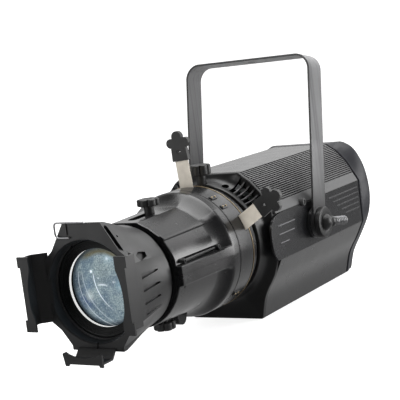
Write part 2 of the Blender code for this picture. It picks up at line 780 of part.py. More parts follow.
tube_origin = (0.0, HOLDER_REAR, 0.0)
tube_profile = [
    (TUBE_RADIUS, TUBE_REAR),
    (TUBE_RADIUS, -432.0),
    (63.0, -432.0),
    (LENS_RADIUS + GAP + 0.5, -426.0),
    (LENS_RADIUS + GAP + 0.5, -400.0),
    (51.0, -400.0),
    (51.0, -396.0),
    (62.5, -394.0),
    (62.5, -311.5),
    (51.0, -311.5),
    (51.0, -307.5),
    (62.5, -306.0),
    (62.5, TUBE_REAR),
]
placed("lens_tube", turned(tube_profile, sides=36, closed=True), "black_paint", origin=tube_origin)
rim = [(LENS_RADIUS, -424.5), (LENS_RADIUS, -419.0), (50.0, -419.0), (50.0, -422.0), (52.5, -424.5)]
placed("lens_rim", turned(rim, sides=40, closed=True), "bright_ring", origin=tube_origin)
front_glass = [
    (12.0, -427.6),
    (30.0, -425.5),
    (42.0, -422.6),
    (49.4, -419.6),
    (49.4, -418.7),
    (54.4, -418.7),
    (54.4, -408.0),
    (48.0, -401.0),
]
placed("front_lens", turned(front_glass, sides=36), "lens_glass", origin=tube_origin)
rear_glass = [(14.0, -334.0), (34.0, -331.5), (50.0, -326.5), (62.0, -321.0), (62.0, -312.4)]
placed("rear_lens", turned(rear_glass, sides=28), "lens_glass", origin=tube_origin)

HOLDER_HALF = [
    (31.0, 92.0),
    (55.0, 55.0),
    (76.0, 38.0),
    (76.0, -38.0),
    (57.0, -52.5),
    (42.0, -73.0),
    (42.0, -79.0),
]
holder_outline = both_sides(HOLDER_HALF)
angles = ring_angles(holder_outline, 42)
front_ring = outline_ring(holder_outline, angles, HOLDER_FRONT)
rear_ring = circle_ring(HOLDER_NECK, angles, HOLDER_REAR)
waist_ring = [tuple(0.25 * a + 0.75 * b for a, b in zip(p, q)) for p, q in zip(front_ring, rear_ring)]
holder_rings = [
    front_ring,
    waist_ring,
    rear_ring,
    circle_ring(TUBE_RADIUS + GAP, angles, HOLDER_REAR),
    circle_ring(TUBE_RADIUS + GAP, angles, -433.0),
    circle_ring(APERTURE, angles, -435.0),
    circle_ring(APERTURE, angles, HOLDER_FRONT),
]
holder = placed(
    "front_holder", swept(holder_rings, closed=True), "black_paint", origin=tube_origin, smooth=25.0
)
side_rail = [
    (RAIL_X, LIP_FRONT + 0.4),
    (RAIL_X, RAIL_BACK),
    (66.0, HOLDER_FRONT + 4.0),
    (71.5, HOLDER_FRONT - 3.0),
    (RAIL_X - 2.8, RAIL_BACK - 2.5),
    (RAIL_X - 2.8, LIP_FRONT + 0.4),
]
rail = plate(side_rail, "Z", -41.0, 53.0)
bottom_rail = [(88.0, LIP_FRONT + 0.4), (88.0, RAIL_BACK), (72.0, HOLDER_FRONT + 4.0)]
bottom_rail += [(76.0, HOLDER_FRONT - 3.0), (85.2, RAIL_BACK - 2.5), (85.2, LIP_FRONT + 0.4)]
floor = swept([[(x, y, -r) for r, y in bottom_rail] for x in (-31.0, 29.0)])
for shape in (rail, mirrored(rail), floor):
    join(holder, shape, origin=tube_origin)
LIP = [(88.5, -47.0), (88.5, -31.0), (84.8, -31.0), (84.8, 40.0), (88.5, 40.0), (88.5, 54.5), (70.0, 54.5)]
LIP += [(70.0, 37.0), (74.0, 24.0), (76.3, 10.0), (76.8, -3.0), (75.5, -17.0), (71.5, -32.0)]
LIP += [(72.0, -47.0)]
side_lip = plate(LIP, "Y", LIP_FRONT, LIP_FRONT + 2.6)
floor_lip = [(-31.0, -91.0), (-34.0, -74.0), (-29.0, -72.0), (-21.0, -76.2), (-10.0, -78.6)]
floor_lip += [(0.0, -79.2), (10.0, -78.6), (21.0, -76.2), (28.0, -73.0), (30.0, -75.0), (30.0, -91.0)]
floor_lip += [(25.0, -91.0), (24.0, -88.3), (-25.0, -88.3), (-26.0, -91.0)]
bottom_lip = plate(floor_lip, "Y", LIP_FRONT, LIP_FRONT + 2.6)
for shape in (side_lip, mirrored(side_lip), bottom_lip):
    join(holder, shape, origin=tube_origin)
oblique = spun(block((75.5, -449.0, -18.0), (90.0, -444.0, 18.0)), 56.0)
vents = [block((69.5, -432.0, z - 2.6), (92.0, -397.0, z + 2.6)) for z in (17.0, 0.0, -17.0, -31.0)]
pocket = spun(block((74.5, -428.0, -5.0), (92.0, -406.0, 6.0)), 31.0)
recess = together(oblique, mirrored(oblique), *vents, *[mirrored(v) for v in vents])
cut(holder, together(recess, pocket, mirrored(pocket)), origin=tube_origin)


def wire(path, radius, sides=8):
    """A round wire along a path in the XZ plane, with flat ends."""
    rings = []
    for i, (x, y, z) in enumerate(path):
        before = path[max(i - 1, 0)]
        after = path[min(i + 1, len(path) - 1)]
        tx = after[0] - before[0]
        tz = after[2] - before[2]
        length = math.hypot(tx, tz)
        nx = -tz / length
        nz = tx / length
        ring = []
        for j in range(sides):
            angle = 2 * math.pi * j / sides
            a = radius * math.cos(angle)
            b = radius * math.sin(angle)
            ring.append((x + nx * a, y + b, z + nz * a))
        rings.append(ring)
    return swept(rings)


CLIP_Y = HOLDER_FRONT - 2.6
CLIP_Z = 93.2
clip_path = [(8.0, CLIP_Y, CLIP_Z), (-34.5, CLIP_Y, CLIP_Z), (-39.5, CLIP_Y, CLIP_Z - 1.2)]
clip_path += [(-42.5, CLIP_Y, CLIP_Z - 5.0), (-42.5, CLIP_Y, 79.0), (-40.0, CLIP_Y, 74.5)]
clip_path += [(-35.5, CLIP_Y, 73.0), (-20.0, CLIP_Y, 73.0)]
clip_origin = (0.0, CLIP_Y, CLIP_Z)
placed("retaining_clip", wire(clip_path, 1.4), "plated_steel", origin=clip_origin)


def lobed_knob(base, top, neck_base, up):
    """A ten-lobed hand knob on a round neck, standing along Z."""
    rings = []
    sides = 30
    for height in (neck_base, base):
        rings.append([(NECK_RADIUS, height)] * sides)
    for trim, height in ((LOBE_DEPTH, base), (0.0, base + 1.5), (0.0, top - 1.5), (2.0, top)):
        ring = []
        for i in range(sides):
            lobe = LOBE_DEPTH * math.cos(2 * math.pi * LOBES * i / sides)
            ring.append((KNOB_RADIUS - LOBE_DEPTH - trim + lobe, height))
        rings.append(ring)
    points = []
    for ring in rings:
        points.append(
            [
                (r * math.cos(2 * math.pi * i / sides), r * math.sin(2 * math.pi * i / sides), up * h)
                for i, (r, h) in enumerate(ring)
            ]
        )
    return swept(points)


def knob_at(name, y, shape):
    points = [(x, py + y, z) for x, py, z in shape[0]]
    placed(name, (points, shape[1]), "black_plastic", origin=(0.0, y, 0.0), smooth=50.0)


neck_start = TUBE_RADIUS + GAP
knob_at("focus_knob_top", FOCUS_KNOB_Y, lobed_knob(85.0, 95.5, neck_start, 1))
knob_at("focus_knob_bottom", FOCUS_KNOB_Y, lobed_knob(82.0, 94.0, neck_start, -1))
knob_at("barrel_lock_knob", LOCK_KNOB_Y, lobed_knob(105.0, 121.0, 80.0, 1))

# ---------------------------------------------------------------- yoke


def yoke_outline():
    """The bent strap seen from the front: up one arm, across, and down the other."""

    def run(half, top, corner):
        path = [(half, 0.0)]
        for i in range(9):
            angle = math.pi / 2 * i / 8
            path.append(
                (half - corner + corner * math.cos(angle), top - corner + corner * math.sin(angle))
            )
        return path

    outside = run(YOKE_HALF, YOKE_HEIGHT, YOKE_CORNER)
    inside = run(YOKE_HALF - STRAP_THICK, YOKE_HEIGHT - STRAP_THICK, YOKE_CORNER - STRAP_THICK)
    loop = outside + [(-x, z) for x, z in reversed(outside)]
    return loop + [(-x, z) for x, z in inside] + list(reversed(inside))


yoke = placed(
    "yoke_strap",
    plate(yoke_outline(), "Y", -STRAP_WIDTH / 2, STRAP_WIDTH / 2),
    "yoke_paint",
    tilt=-YOKE_TILT,
)
disc = turned([(DISC_RADIUS, YOKE_HALF - DISC_BACK), (DISC_RADIUS, YOKE_HALF + DISC_PROUD)], "X", 32)
join(yoke, together(disc, mirrored(disc)), tilt=-YOKE_TILT)
pivot_hole = turned([(PIVOT_HOLE, YOKE_HALF - 9.0), (PIVOT_HOLE, YOKE_HALF + 9.0)], "X", 16)
bolt_hole = turned([(BOLT_HOLE, YOKE_HEIGHT - 9.0), (BOLT_HOLE, YOKE_HEIGHT + 9.0)], "Z", 24)
cut(yoke, together(pivot_hole, mirrored(pivot_hole), bolt_hole), tilt=-YOKE_TILT)

boss = [
    (PIVOT_HOLE, SIDE_WALL + GAP),
    (19.0, SIDE_WALL + GAP),
    (16.0, YOKE_HALF - DISC_BACK - GAP),
    (PIVOT_HOLE, YOKE_HALF - DISC_BACK - GAP),
]
HUB_START = YOKE_HALF + DISC_PROUD + GAP
lever_profile = [
    (PIVOT_RADIUS, SIDE_WALL + 2.0),
    (PIVOT_RADIUS, HUB_START),
    (12.0, HUB_START),
    (13.0, HUB_START + 3.0),
    (13.0, HUB_START + 14.0),
    (10.0, HUB_START + 19.0),
    (4.0, HUB_START + 21.0),
]
GRIP_X = HUB_START + 9.0
grip_profile = [(4.5, 6.0), (4.5, GRIP_START)]
for i in range(GRIP_RIBS):
    start = GRIP_START + GRIP_PITCH * i
    grip_profile += [(7.6, start), (7.6, start + 3.4), (6.0, start + 4.4)]
grip = pitched(turned(grip_profile, "Y", 12, centre=(GRIP_X, 0.0, 0.0)), -GRIP_DROP)
for side, turn in (("right", lambda shape: shape), ("left", mirrored)):
    placed(f"trunnion_{side}", turn(turned(boss, "X", 28, closed=True)), "black_paint")
    lever = placed(
        f"yoke_lock_{side}", turn(turned(lever_profile, "X", 24)), "black_plastic", smooth=50.0
    )
    join(lever, turn(grip))
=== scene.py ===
import math

import bmesh
import bpy
from mathutils import Matrix, Vector


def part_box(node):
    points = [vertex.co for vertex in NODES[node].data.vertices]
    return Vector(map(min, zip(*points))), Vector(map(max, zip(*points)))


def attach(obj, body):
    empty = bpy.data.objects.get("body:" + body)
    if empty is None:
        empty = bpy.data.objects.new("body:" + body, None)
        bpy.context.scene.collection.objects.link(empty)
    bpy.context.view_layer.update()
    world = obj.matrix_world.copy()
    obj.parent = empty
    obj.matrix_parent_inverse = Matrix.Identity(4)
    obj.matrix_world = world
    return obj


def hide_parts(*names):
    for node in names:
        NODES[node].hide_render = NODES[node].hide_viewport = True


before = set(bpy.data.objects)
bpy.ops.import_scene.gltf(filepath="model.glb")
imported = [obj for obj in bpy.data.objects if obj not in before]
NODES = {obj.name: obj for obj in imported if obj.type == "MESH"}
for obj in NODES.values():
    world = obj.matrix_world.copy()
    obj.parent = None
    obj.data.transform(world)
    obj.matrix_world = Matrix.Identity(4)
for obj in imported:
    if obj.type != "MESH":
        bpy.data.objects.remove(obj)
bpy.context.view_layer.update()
MM = 0.001
rim_low, rim_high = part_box("lens_rim")
AXIS = (rim_low.z + rim_high.z) / 2  # height of the optical axis and of the yoke pivot

# Lengths are in millimetres from the yoke pivot: light leaves towards -Y, +Z is up. Inside a material they
# are in metres.

TOP_HALF, TOP_Z = 49.0, 102.5  # half width and height of the housing's flat top
BAND = (96.0, 50.0)  # foot of the finned shoulder
SIDE_X, SIDE_TOP, SIDE_BOTTOM, SIDE_WALL = 103.3, 36.4, -33.0, 99.4
# Angles of the first and the last fin, and their distances from the axis.
FIN_LOW, FIN_HIGH = math.atan2(BAND[1], BAND[0]), math.atan2(TOP_Z, TOP_HALF)
FIN_LOW_RADIUS, FIN_HIGH_RADIUS = math.hypot(*BAND), math.hypot(TOP_HALF, TOP_Z)
YOKE_TILT = 10.1  # degrees that the yoke leans back

# ---------------------------------------------------------------- materials

MAT = {}
GRAIN_DEPTH = 0.0002


def feed(tree, socket, value):
    """Sets a socket to a constant, or links it to another node's output."""
    if isinstance(value, bpy.types.NodeSocket):
        tree.links.new(value, socket)
    else:
        socket.default_value = value


def fill(tree, node, *values, **settings):
    """Values go to a node's inputs in order, settings to the input or property of that name."""
    for key, value in settings.items():
        socket = node.inputs.get(key.replace("_", " "))
        if socket is None:
            setattr(node, key, value)
        else:
            feed(tree, socket, value)
    for socket, value in zip(node.inputs, values):
        feed(tree, socket, value)
    return node


def add(tree, kind, *values, **settings):
    return fill(tree, tree.nodes.new("ShaderNode" + kind), *values, **settings)


def shade(tree, **settings):
    fill(tree, tree.nodes["Principled BSDF"], **settings)


def new_tree(name):
    MAT[name] = bpy.data.materials.new(name)
    MAT[name].use_nodes = True
    return MAT[name].node_tree


def calc(tree, operation, *values, **settings):
    return add(tree, "Math", *values, operation=operation, **settings).outputs["Value"]


def times(tree, first, *others):
    for other in others:
        first = calc(tree, "MULTIPLY", first, other)
    return first


def plus(tree, first, second):
    return calc(tree, "ADD", first, second, use_clamp=True)


def vector_calc(tree, operation, *values, output="Vector"):
    return add(tree, "VectorMath", *values, operation=operation).outputs[output]


def object_place(tree):
    return add(tree, "TexCoord").outputs["Object"]


def separate(tree, place):
    return add(tree, "SeparateXYZ", place).outputs


def noise(tree, scale, detail=3.0, stretch=None):
    place = object_place(tree)
    if stretch:
        place = add(tree, "Mapping", place, Scale=stretch).outputs["Vector"]
    return add(tree, "TexNoise", Vector=place, Scale=scale, Detail=detail).outputs["Fac"]


def spread(tree, value, low, high, start=0.3, end=0.7, **settings):
    """Goes from low to high as the value goes from start to end."""
    return add(tree, "MapRange", value, start, end, low, high, **settings).outputs["Result"]


def mixed(tree, factor, first, second):
    node = add(tree, "Mix", data_type="RGBA", Factor=factor)
    colours = [socket for socket in node.inputs if socket.type == "RGBA"]
    for socket, value in zip(colours, (first, second)):
        feed(tree, socket, (*value, 1.0) if isinstance(value, tuple) else value)
    return next(socket for socket in node.outputs if socket.type == "RGBA")


def surface(name, colour, second, rough, metallic=0.0, grain=1500.0, bump=0.1, streak=None, specular=0.5,
            coat=0.0, stain=22.0, painted_glow=0.0):
    """Paint, plastic or metal: two-tone colour, patchy roughness and fine grain, and where asked a painted
    self-lit brightness.
    """
    tree = new_tree(name)
    relief = add(tree, "Bump", Strength=bump, Distance=GRAIN_DEPTH, Height=noise(tree, grain, 2.0, streak))
    shade(tree, Base_Color=mixed(tree, spread(tree, noise(tree, stain, 5.0), 0.0, 1.0), colour, second),
          Roughness=spread(tree, noise(tree, 45.0, 6.0, streak), *rough), Metallic=metallic,
          Emission_Color=(1.0, 0.99, 0.96, 1.0), Emission_Strength=painted_glow, Specular_IOR_Level=specular,
          Coat_Weight=coat, Coat_Roughness=0.15, Normal=relief.outputs["Normal"])


def glass(name, colour, second):
    """Coated optical glass, clear from the front and more solid towards its edge."""
    tree = new_tree(name)
    facing = add(tree, "LayerWeight", Blend=0.35).outputs["Facing"]
    shade(tree, Base_Color=mixed(tree, spread(tree, noise(tree, 60.0, 6.0), 0.0, 1.0), colour, second),
          Roughness=spread(tree, noise(tree, 90.0, 5.0), 0.03, 0.09),
          Alpha=spread(tree, facing, 0.22, 0.72, 0.0, 1.0), Coat_Weight=0.4, Coat_Roughness=0.03)


def ring_mask(tree, flat, centre, radius, width, soft):
    """1 on a thin circle round a point of the lens plane, fading to 0 within soft."""
    point = (centre[0] * MM, 0.0, AXIS + centre[1] * MM)
    away = vector_calc(tree, "DISTANCE", flat, point, output="Value")
    off = calc(tree, "ABSOLUTE", calc(tree, "SUBTRACT", away, radius * MM))
    return spread(tree, off, 1.0, 0.0, width * MM, (width + soft) * MM)


def spot_mask(tree, flat, centre, radius, soft):
    return ring_mask(tree, flat, centre, 0.0, radius, soft)


# Painted reflections in the front lens, as patches of colour: centre, radius, softness, share and colour.
LENS_REFLECTION_PATCHES = (
    ((-33.0, -19.0), 4.0, 15.0, 0.85, (0.05, 0.09, 0.20)),
    ((-46.0, 6.0), 6.0, 15.0, 0.9, (0.035, 0.06, 0.10)), ((-26.0, 2.0), 1.0, 12.0, 0.45, (0.10, 0.17, 0.28)),
    ((-10.0, -38.0), 4.0, 18.0, 0.6, (0.07, 0.12, 0.18)), ((-24.0, -12.0), 2.0, 9.0, 0.7, (0.55, 0.62, 0.60)),
    ((12.0, 38.0), 2.0, 9.0, 0.5, (0.42, 0.58, 0.66)), ((30.0, 2.0), 2.0, 10.0, 0.5, (0.24, 0.42, 0.52)),
    ((2.0, 20.0), 4.0, 20.0, 0.6, (0.15, 0.20, 0.20)),
)
# Reflected arcs: centre, radius, half width, softness and strength. Points of light: the same without radius.
LENS_REFLECTED_ARCS = (((57.0, 21.9), 69.8, 0.15, 1.1, 0.75), ((23.3, 8.4), 65.0, 0.15, 1.0, 0.5),
             ((59.8, 28.5), 94.1, 0.1, 1.2, 0.35))
LENS_HIGHLIGHT_POINTS = (((-16.3, 21.1), 0.9, 1.9, 1.0), ((-4.5, 12.3), 0.3, 1.6, 0.45), ((19.3, 6.9), 0.4, 2.2, 0.4),
               ((10.7, 38.0), 0.5, 2.4, 0.45))


def lens_face():
    """The front lens: mottled pale blue, its colour painted reflections of the inner lens elements, with
    painted arcs and points of light, amber painted shade over its upper part, painted shade at its rim,
    self-lit though it is no lamp, and a clear gloss.
    """
    tree = new_tree("lens_face")
    split = separate(tree, object_place(tree))
    across, height = split["X"], split["Z"]
    flat = add(tree, "CombineXYZ", X=across, Z=height).outputs["Vector"]
    # Mottled colour with dark and pale blotches: painted reflections of the inner lens elements.
    mottle = spread(tree, noise(tree, 620.0, 5.0), 0.0, 1.0, 0.34, 0.66)
    tint = mixed(tree, mottle, (0.10, 0.16, 0.20), (0.34, 0.42, 0.44))
    tint = mixed(tree, spread(tree, noise(tree, 60.0, 3.0), 0.0, 0.85, 0.40, 0.62), tint, (0.085, 0.14, 0.20))
    for centre, size, soft, share, colour in LENS_REFLECTION_PATCHES:
        tint = mixed(tree, times(tree, spot_mask(tree, flat, centre, size, soft), share), tint, colour)
    dark = spread(tree, noise(tree, 560.0, 4.0), 0.0, 0.60, 0.48, 0.66)
    tint = mixed(tree, dark, tint, (0.045, 0.080, 0.105))
    pale = spread(tree, noise(tree, 470.0, 4.0), 0.0, 0.55, 0.50, 0.70)
    tint = mixed(tree, pale, tint, (0.42, 0.52, 0.53))
    # Amber painted shade over the upper part of a ring round the lens.
    amber_shade = ring_mask(tree, flat, (0.0, 6.0), 45.5, 4.5, 5.0)
    up = spread(tree, height, 0.0, 1.0, AXIS + 0.034, AXIS + 0.042)
    tint = mixed(tree, times(tree, amber_shade, up), tint, (0.105, 0.098, 0.052))
    # Painted shade: darker at the lens's rim.
    edge = ring_mask(tree, flat, (0.0, 0.0), 54.5, 2.2, 5.5)
    tint = mixed(tree, times(tree, edge, 0.85), tint, (0.03, 0.045, 0.06))
    # Painted reflections: bright arcs over the left and lower part, and points of light.
    left = spread(tree, across, 1.0, 0.0, -0.004, 0.016)
    low = spread(tree, height, 1.0, 0.0, AXIS + 0.014, AXIS + 0.022)
    painted_glow = 0.0
    for centre, radius, width, soft, share in LENS_REFLECTED_ARCS:
        painted_glow = plus(tree, painted_glow, times(tree, ring_mask(tree, flat, centre, radius, width, soft), share, left,
                                      low))
    for centre, size, soft, share in LENS_HIGHLIGHT_POINTS:
        painted_glow = plus(tree, painted_glow, times(tree, spot_mask(tree, flat, centre, size, soft), share))
    # A painted reflection: a short bright arc just above the axis.
    streak = ring_mask(tree, flat, (0.0, -26.0), 29.6, 0.2, 1.6)
    inside = spread(tree, across, 0.0, 1.0, -0.008, -0.003)
    outside = spread(tree, across, 1.0, 0.0, 0.004, 0.012)
    above = spread(tree, height, 0.0, 1.0, AXIS, AXIS + 0.001)
    painted_glow = plus(tree, painted_glow, times(tree, streak, 0.6, inside, outside, above))
    # Fine painted sparkles of light over the whole lens.
    painted_glow = plus(tree, painted_glow, spread(tree, noise(tree, 1500.0, 2.0), 0.0, 0.30, 0.58, 0.78))
    tint = mixed(tree, painted_glow, tint, (0.86, 0.94, 1.0))
    # The lens shines by itself with its painted colour, though it is no lamp.
    shade(tree, Base_Color=tint, Emission_Color=tint, Emission_Strength=0.30, Specular_IOR_Level=0.35,
          Roughness=spread(tree, noise(tree, 90.0, 4.0), 0.28, 0.38))


surface("black_paint", (0.0052, 0.0052, 0.0057), (0.0068, 0.0068, 0.0073), (0.22, 0.28), bump=0.05)
# Fin paint: the black paint a little darker, painted shade between the fin crests; the crests get a painted
# highlight further down.
surface("fin_paint", (0.0042, 0.0042, 0.0046), (0.0056, 0.0056, 0.0060), (0.22, 0.28), bump=0.05)
# Nose paint: the black paint made darker, painted shade on the nose casting; its ribs get a painted highlight
# further down.
surface("nose_paint", (0.0034, 0.0034, 0.0037), (0.0046, 0.0046, 0.0050), (0.30, 0.38), specular=0.4,
        bump=0.05)
surface("holder_paint", (0.0085, 0.0085, 0.0090), (0.0105, 0.0105, 0.0110), (0.34, 0.42), bump=0.05)
surface("cover_paint", (0.0070, 0.0071, 0.0080), (0.0085, 0.0086, 0.0097), (0.24, 0.28), grain=1900.0,
        bump=0.04)
surface("cap_paint", (0.013, 0.0135, 0.017), (0.017, 0.0175, 0.022), (0.40, 0.46), specular=0.38,
        grain=1900.0, bump=0.04)
surface("yoke_paint", (0.118, 0.118, 0.120), (0.142, 0.142, 0.145), (0.34, 0.42), grain=1100.0, bump=0.12)
surface("black_plastic", (0.017, 0.017, 0.0172), (0.022, 0.022, 0.0222), (0.42, 0.52), grain=2400.0,
        bump=0.12)
# Lever plastic: darker than the other black plastic, painted shade on the yoke locks.
surface("lever_plastic", (0.006, 0.006, 0.0062), (0.009, 0.009, 0.0093), (0.36, 0.44), specular=0.45,
        grain=2400.0, bump=0.05)
surface("black_rubber", (0.0035, 0.0035, 0.0035), (0.006, 0.006, 0.006), (0.6, 0.8), grain=2600.0, bump=0.3)
surface("matt_black", (0.0025, 0.003, 0.0032), (0.0045, 0.005, 0.0052), (0.45, 0.62), specular=0.3, bump=0.12)
surface("blade_steel", (0.68, 0.62, 0.53), (0.80, 0.74, 0.64), (0.45, 0.6), grain=900.0, bump=0.12,
        stain=90.0)
# The lens rim's white ring also shines by itself, though it is no lamp: painted light.
surface("bright_ring", (0.85, 0.85, 0.83), (0.94, 0.94, 0.93), (0.25, 0.36), bump=0.04, painted_glow=0.6)
surface("aluminium", (0.52, 0.53, 0.54), (0.62, 0.63, 0.64), (0.30, 0.42), metallic=0.95, grain=900.0,
        bump=0.08, streak=(1.0, 0.05, 1.0))
surface("plated_steel", (0.36, 0.36, 0.37), (0.46, 0.46, 0.47), (0.25, 0.38), metallic=0.95, grain=1200.0,
        bump=0.08)
surface("brass", (0.26, 0.20, 0.125), (0.34, 0.27, 0.17), (0.25, 0.4), metallic=0.9)
surface("display_glass", (0.010, 0.014, 0.024), (0.012, 0.018, 0.030), (0.06, 0.12), coat=1.0, grain=300.0,
        bump=0.01)
surface("circuit_board", (0.02, 0.10, 0.045), (0.03, 0.14, 0.06), (0.4, 0.5), grain=500.0)
glass("lens_glass", (0.42, 0.56, 0.64), (0.55, 0.66, 0.72))
lens_face()


def from_pivot(tree):
    return vector_calc(tree, "SUBTRACT", object_place(tree), (0.0, 0.0, AXIS))


def distance_from_pivot(tree, axes):
    """How far a point lies from the pivot, counting only the named coordinates."""
    counted = tuple(float(axis in axes) for axis in "XYZ")
    part = vector_calc(tree, "MULTIPLY", from_pivot(tree), counted)
    return vector_calc(tree, "LENGTH", part, output="Value")


def turn_about_axis(tree):
    """A point's angle above the horizontal, the same on both sides, and how far back it lies."""
    split = separate(tree, from_pivot(tree))
    return calc(tree, "ARCTAN2", split["Z"], calc(tree, "ABSOLUTE", split["X"])), split["Y"]


def streak_mask(tree):
    return spread(tree, noise(tree, 170.0, 2.0, (1.0, 1.0, 0.02)), 0.0, 0.6, 0.48, 0.66)


def strap_edge_shade_mask(tree):
    """1 on the two narrow edges of the strap, where shade is painted."""
    lean = math.radians(YOKE_TILT)
    off = vector_calc(tree, "DOT_PRODUCT", from_pivot(tree), (0.0, math.cos(lean), -math.sin(lean)),
                      output="Value")
    return spread(tree, calc(tree, "ABSOLUTE", off), 0.0, 0.9, 0.0194, 0.0205)


# Painted shadow on the strap's lower end: 0.9 near the pivot, fading out by 85 mm.
def strap_foot_shadow_mask(tree):
    return spread(tree, distance_from_pivot(tree, "YZ"), 0.9, 0.0, 0.022, 0.085)


def rib_highlight_mask(tree):
    """1 on the ribs between the nose's air slots, where a highlight is painted."""
    angle, back = turn_about_axis(tree)
    low = spread(tree, angle, 0.0, 1.0, math.radians(33.0), math.radians(34.0))
    high = spread(tree, angle, 1.0, 0.0, math.radians(56.5), math.radians(57.5))
    near = spread(tree, back, 0.0, 1.0, -0.1485, -0.1475)
    far = spread(tree, back, 1.0, 0.0, -0.1275, -0.1260)
    return times(tree, low, high, near, far)


def crest_highlight_mask(tree):
    """1 on the crests of the fins, where a highlight is painted, 0 in the grooves and on the flat top."""
    angle, _ = turn_about_axis(tree)
    crest = spread(tree, angle, FIN_LOW_RADIUS * MM, FIN_HIGH_RADIUS * MM, FIN_LOW, FIN_HIGH, clamp=False)
    off = calc(tree, "SUBTRACT", distance_from_pivot(tree, "XZ"), crest)
    proud = spread(tree, off, 0.0, 1.0, -0.0011, -0.0003)
    fade = spread(tree, angle, 1.0, 0.0, FIN_HIGH - 0.004, FIN_HIGH + 0.002)
    start = spread(tree, angle, 0.0, 1.0, FIN_LOW - 0.16, FIN_LOW - 0.12)
    return times(tree, proud, fade, start)


def line_highlight_mask(tree):
    """A painted highlight: 1 on the raised lines of the side covers, weaker towards the rear."""
    outward = spread(tree, distance_from_pivot(tree, "X"), 0.0, 1.0, (SIDE_X + 0.15) * MM,
                     (SIDE_X + 0.45) * MM)
    return times(tree, outward, spread(tree, separate(tree, from_pivot(tree))["Y"], 1.0, 0.22, 0.0, 0.06))


# Each mask lays another colour over a finished material: darker streaks on the yoke, painted shade on the
# strap's edges, a painted shadow at its foot, and painted highlights on the nose's ribs, the fin crests and
# the cover lines.
for name, mask, colour in (
    ("yoke_paint", streak_mask, (0.045, 0.045, 0.047)),
    ("yoke_paint", strap_edge_shade_mask, (0.010, 0.010, 0.0105)),
    ("yoke_paint", strap_foot_shadow_mask, (0.012, 0.012, 0.0125)), ("nose_paint", rib_highlight_mask, (0.085, 0.085, 0.087)),
    ("fin_paint", crest_highlight_mask, (0.062, 0.062, 0.063)), ("cover_paint", line_highlight_mask, (0.095, 0.095, 0.10)),
):
    tree = MAT[name].node_tree
    under = tree.nodes["Principled BSDF"].inputs["Base Color"].links[0].from_socket
    shade(tree, Base_Color=mixed(tree, mask(tree), under, colour))

# ---------------------------------------------------------------- mesh kit


def swept(rings, closed=False):
    """A skin over a row of rings: capped at both ends, or joined into a loop."""
    count = len(rings[0])
    points = [p for ring in rings for p in ring]
    faces = []
    pairs = [(i, i + 1) for i in range(len(rings) - 1)] + ([(len(rings) - 1, 0)] if closed else [])
    for a, b in pairs:
        for j in range(count):
            k = (j + 1) % count
            faces.append((a * count + j, a * count + k, b * count + k, b * count + j))
    if not closed:
        faces.append(tuple(range(count)))
        faces.append(tuple(range((len(rings) - 1) * count, len(rings) * count)))
    return points, faces


def together(*shapes):
    points, faces = [], []
    for more_points, more_faces in shapes:
        start = len(points)
        points.extend(more_points)
        faces.extend(tuple(i + start for i in face) for face in more_faces)
    return points, faces


def on_axis(axis, a, b, along, centre=(0.0, 0.0, 0.0)):
    x, y, z = {"X": (along, a, b), "Y": (a, along, b), "Z": (a, b, along)}[axis]
    return x + centre[0], y + centre[1], z + centre[2]


def turned(profile, axis="Y", sides=96, closed=False, centre=(0.0, 0.0, 0.0)):
    turn = [2 * math.pi * i / sides for i in range(sides)]
    return swept([[on_axis(axis, radius * math.cos(t), radius * math.sin(t), along, centre) for t in turn]
                  for radius, along in profile], closed)


def block(low, high):
    corners = [(low[0], low[1]), (high[0], low[1]), (high[0], high[1]), (low[0], high[1])]
    return swept([[(x, y, z) for x, y in corners] for z in (low[2], high[2])])


def plate(outline, axis, start, end):
    """An outline in two coordinates, made solid along the third."""
    return swept([[on_axis(axis, a, b, along) for a, b in outline] for along in (start, end)])


def changed(shape, move):
    return [move(*p) for p in shape[0]], shape[1]


def spun(shape, degrees):
    """The shape turned about the optical axis."""
    c, s = math.cos(math.radians(degrees)), math.sin(math.radians(degrees))
    return changed(shape, lambda x, y, z: (x * c - z * s, y, x * s + z * c))


def pitched(shape, degrees):
    """The shape tipped about the yoke pivot."""
    c, s = math.cos(math.radians(degrees)), math.sin(math.radians(degrees))
    return changed(shape, lambda x, y, z: (x, y * c - z * s, y * s + z * c))


def mirrored(shape):
    return changed(shape, lambda x, y, z: (-x, y, z))


def as_drawn(shape):
    return shape


def paired(*shapes):
    """The shapes and their mirror images, as one."""
    return together(*shapes, *[mirrored(shape) for shape in shapes])


def both_sides(half):
    return half + [(-x, z) for x, z in reversed(half)]


def arc(centre, radius, start, end, steps=8):
    turn = [math.radians(start + (end - start) * i / steps) for i in range(steps + 1)]
    return [(centre[0] + radius * math.cos(t), centre[1] + radius * math.sin(t)) for t in turn]


def eased(path, steps):
    """A smooth path through the given points."""
    out = []
    for i in range(len(path) - 1):
        p0, p1, p2, p3 = (path[min(max(i + k, 0), len(path) - 1)] for k in (-1, 0, 1, 2))
        for j in range(steps):
            t = j / steps
            out.append(tuple(
                0.5 * (2 * b + (c - a) * t + (2 * a - 5 * b + 4 * c - d) * t * t
                       + (3 * b - a - 3 * c + d) * t**3)
                for a, b, c, d in zip(p0, p1, p2, p3)
            ))
    return out + [path[-1]]


def inset(outline, distance):
    """The outline with every edge moved inwards."""
    moved = []
    count = len(outline)
    for i in range(count):
        (ax, az), (bx, bz), (cx, cz) = outline[i - 1], outline[i], outline[(i + 1) % count]
        first, second = (bx - ax, bz - az), (cx - bx, cz - bz)
        n1 = (first[1] / math.hypot(*first), -first[0] / math.hypot(*first))
        n2 = (second[1] / math.hypot(*second), -second[0] / math.hypot(*second))
        scale = distance / (1 + n1[0] * n2[0] + n1[1] * n2[1])
        moved.append((bx + (n1[0] + n2[0]) * scale, bz + (n1[1] + n2[1]) * scale))
    return moved


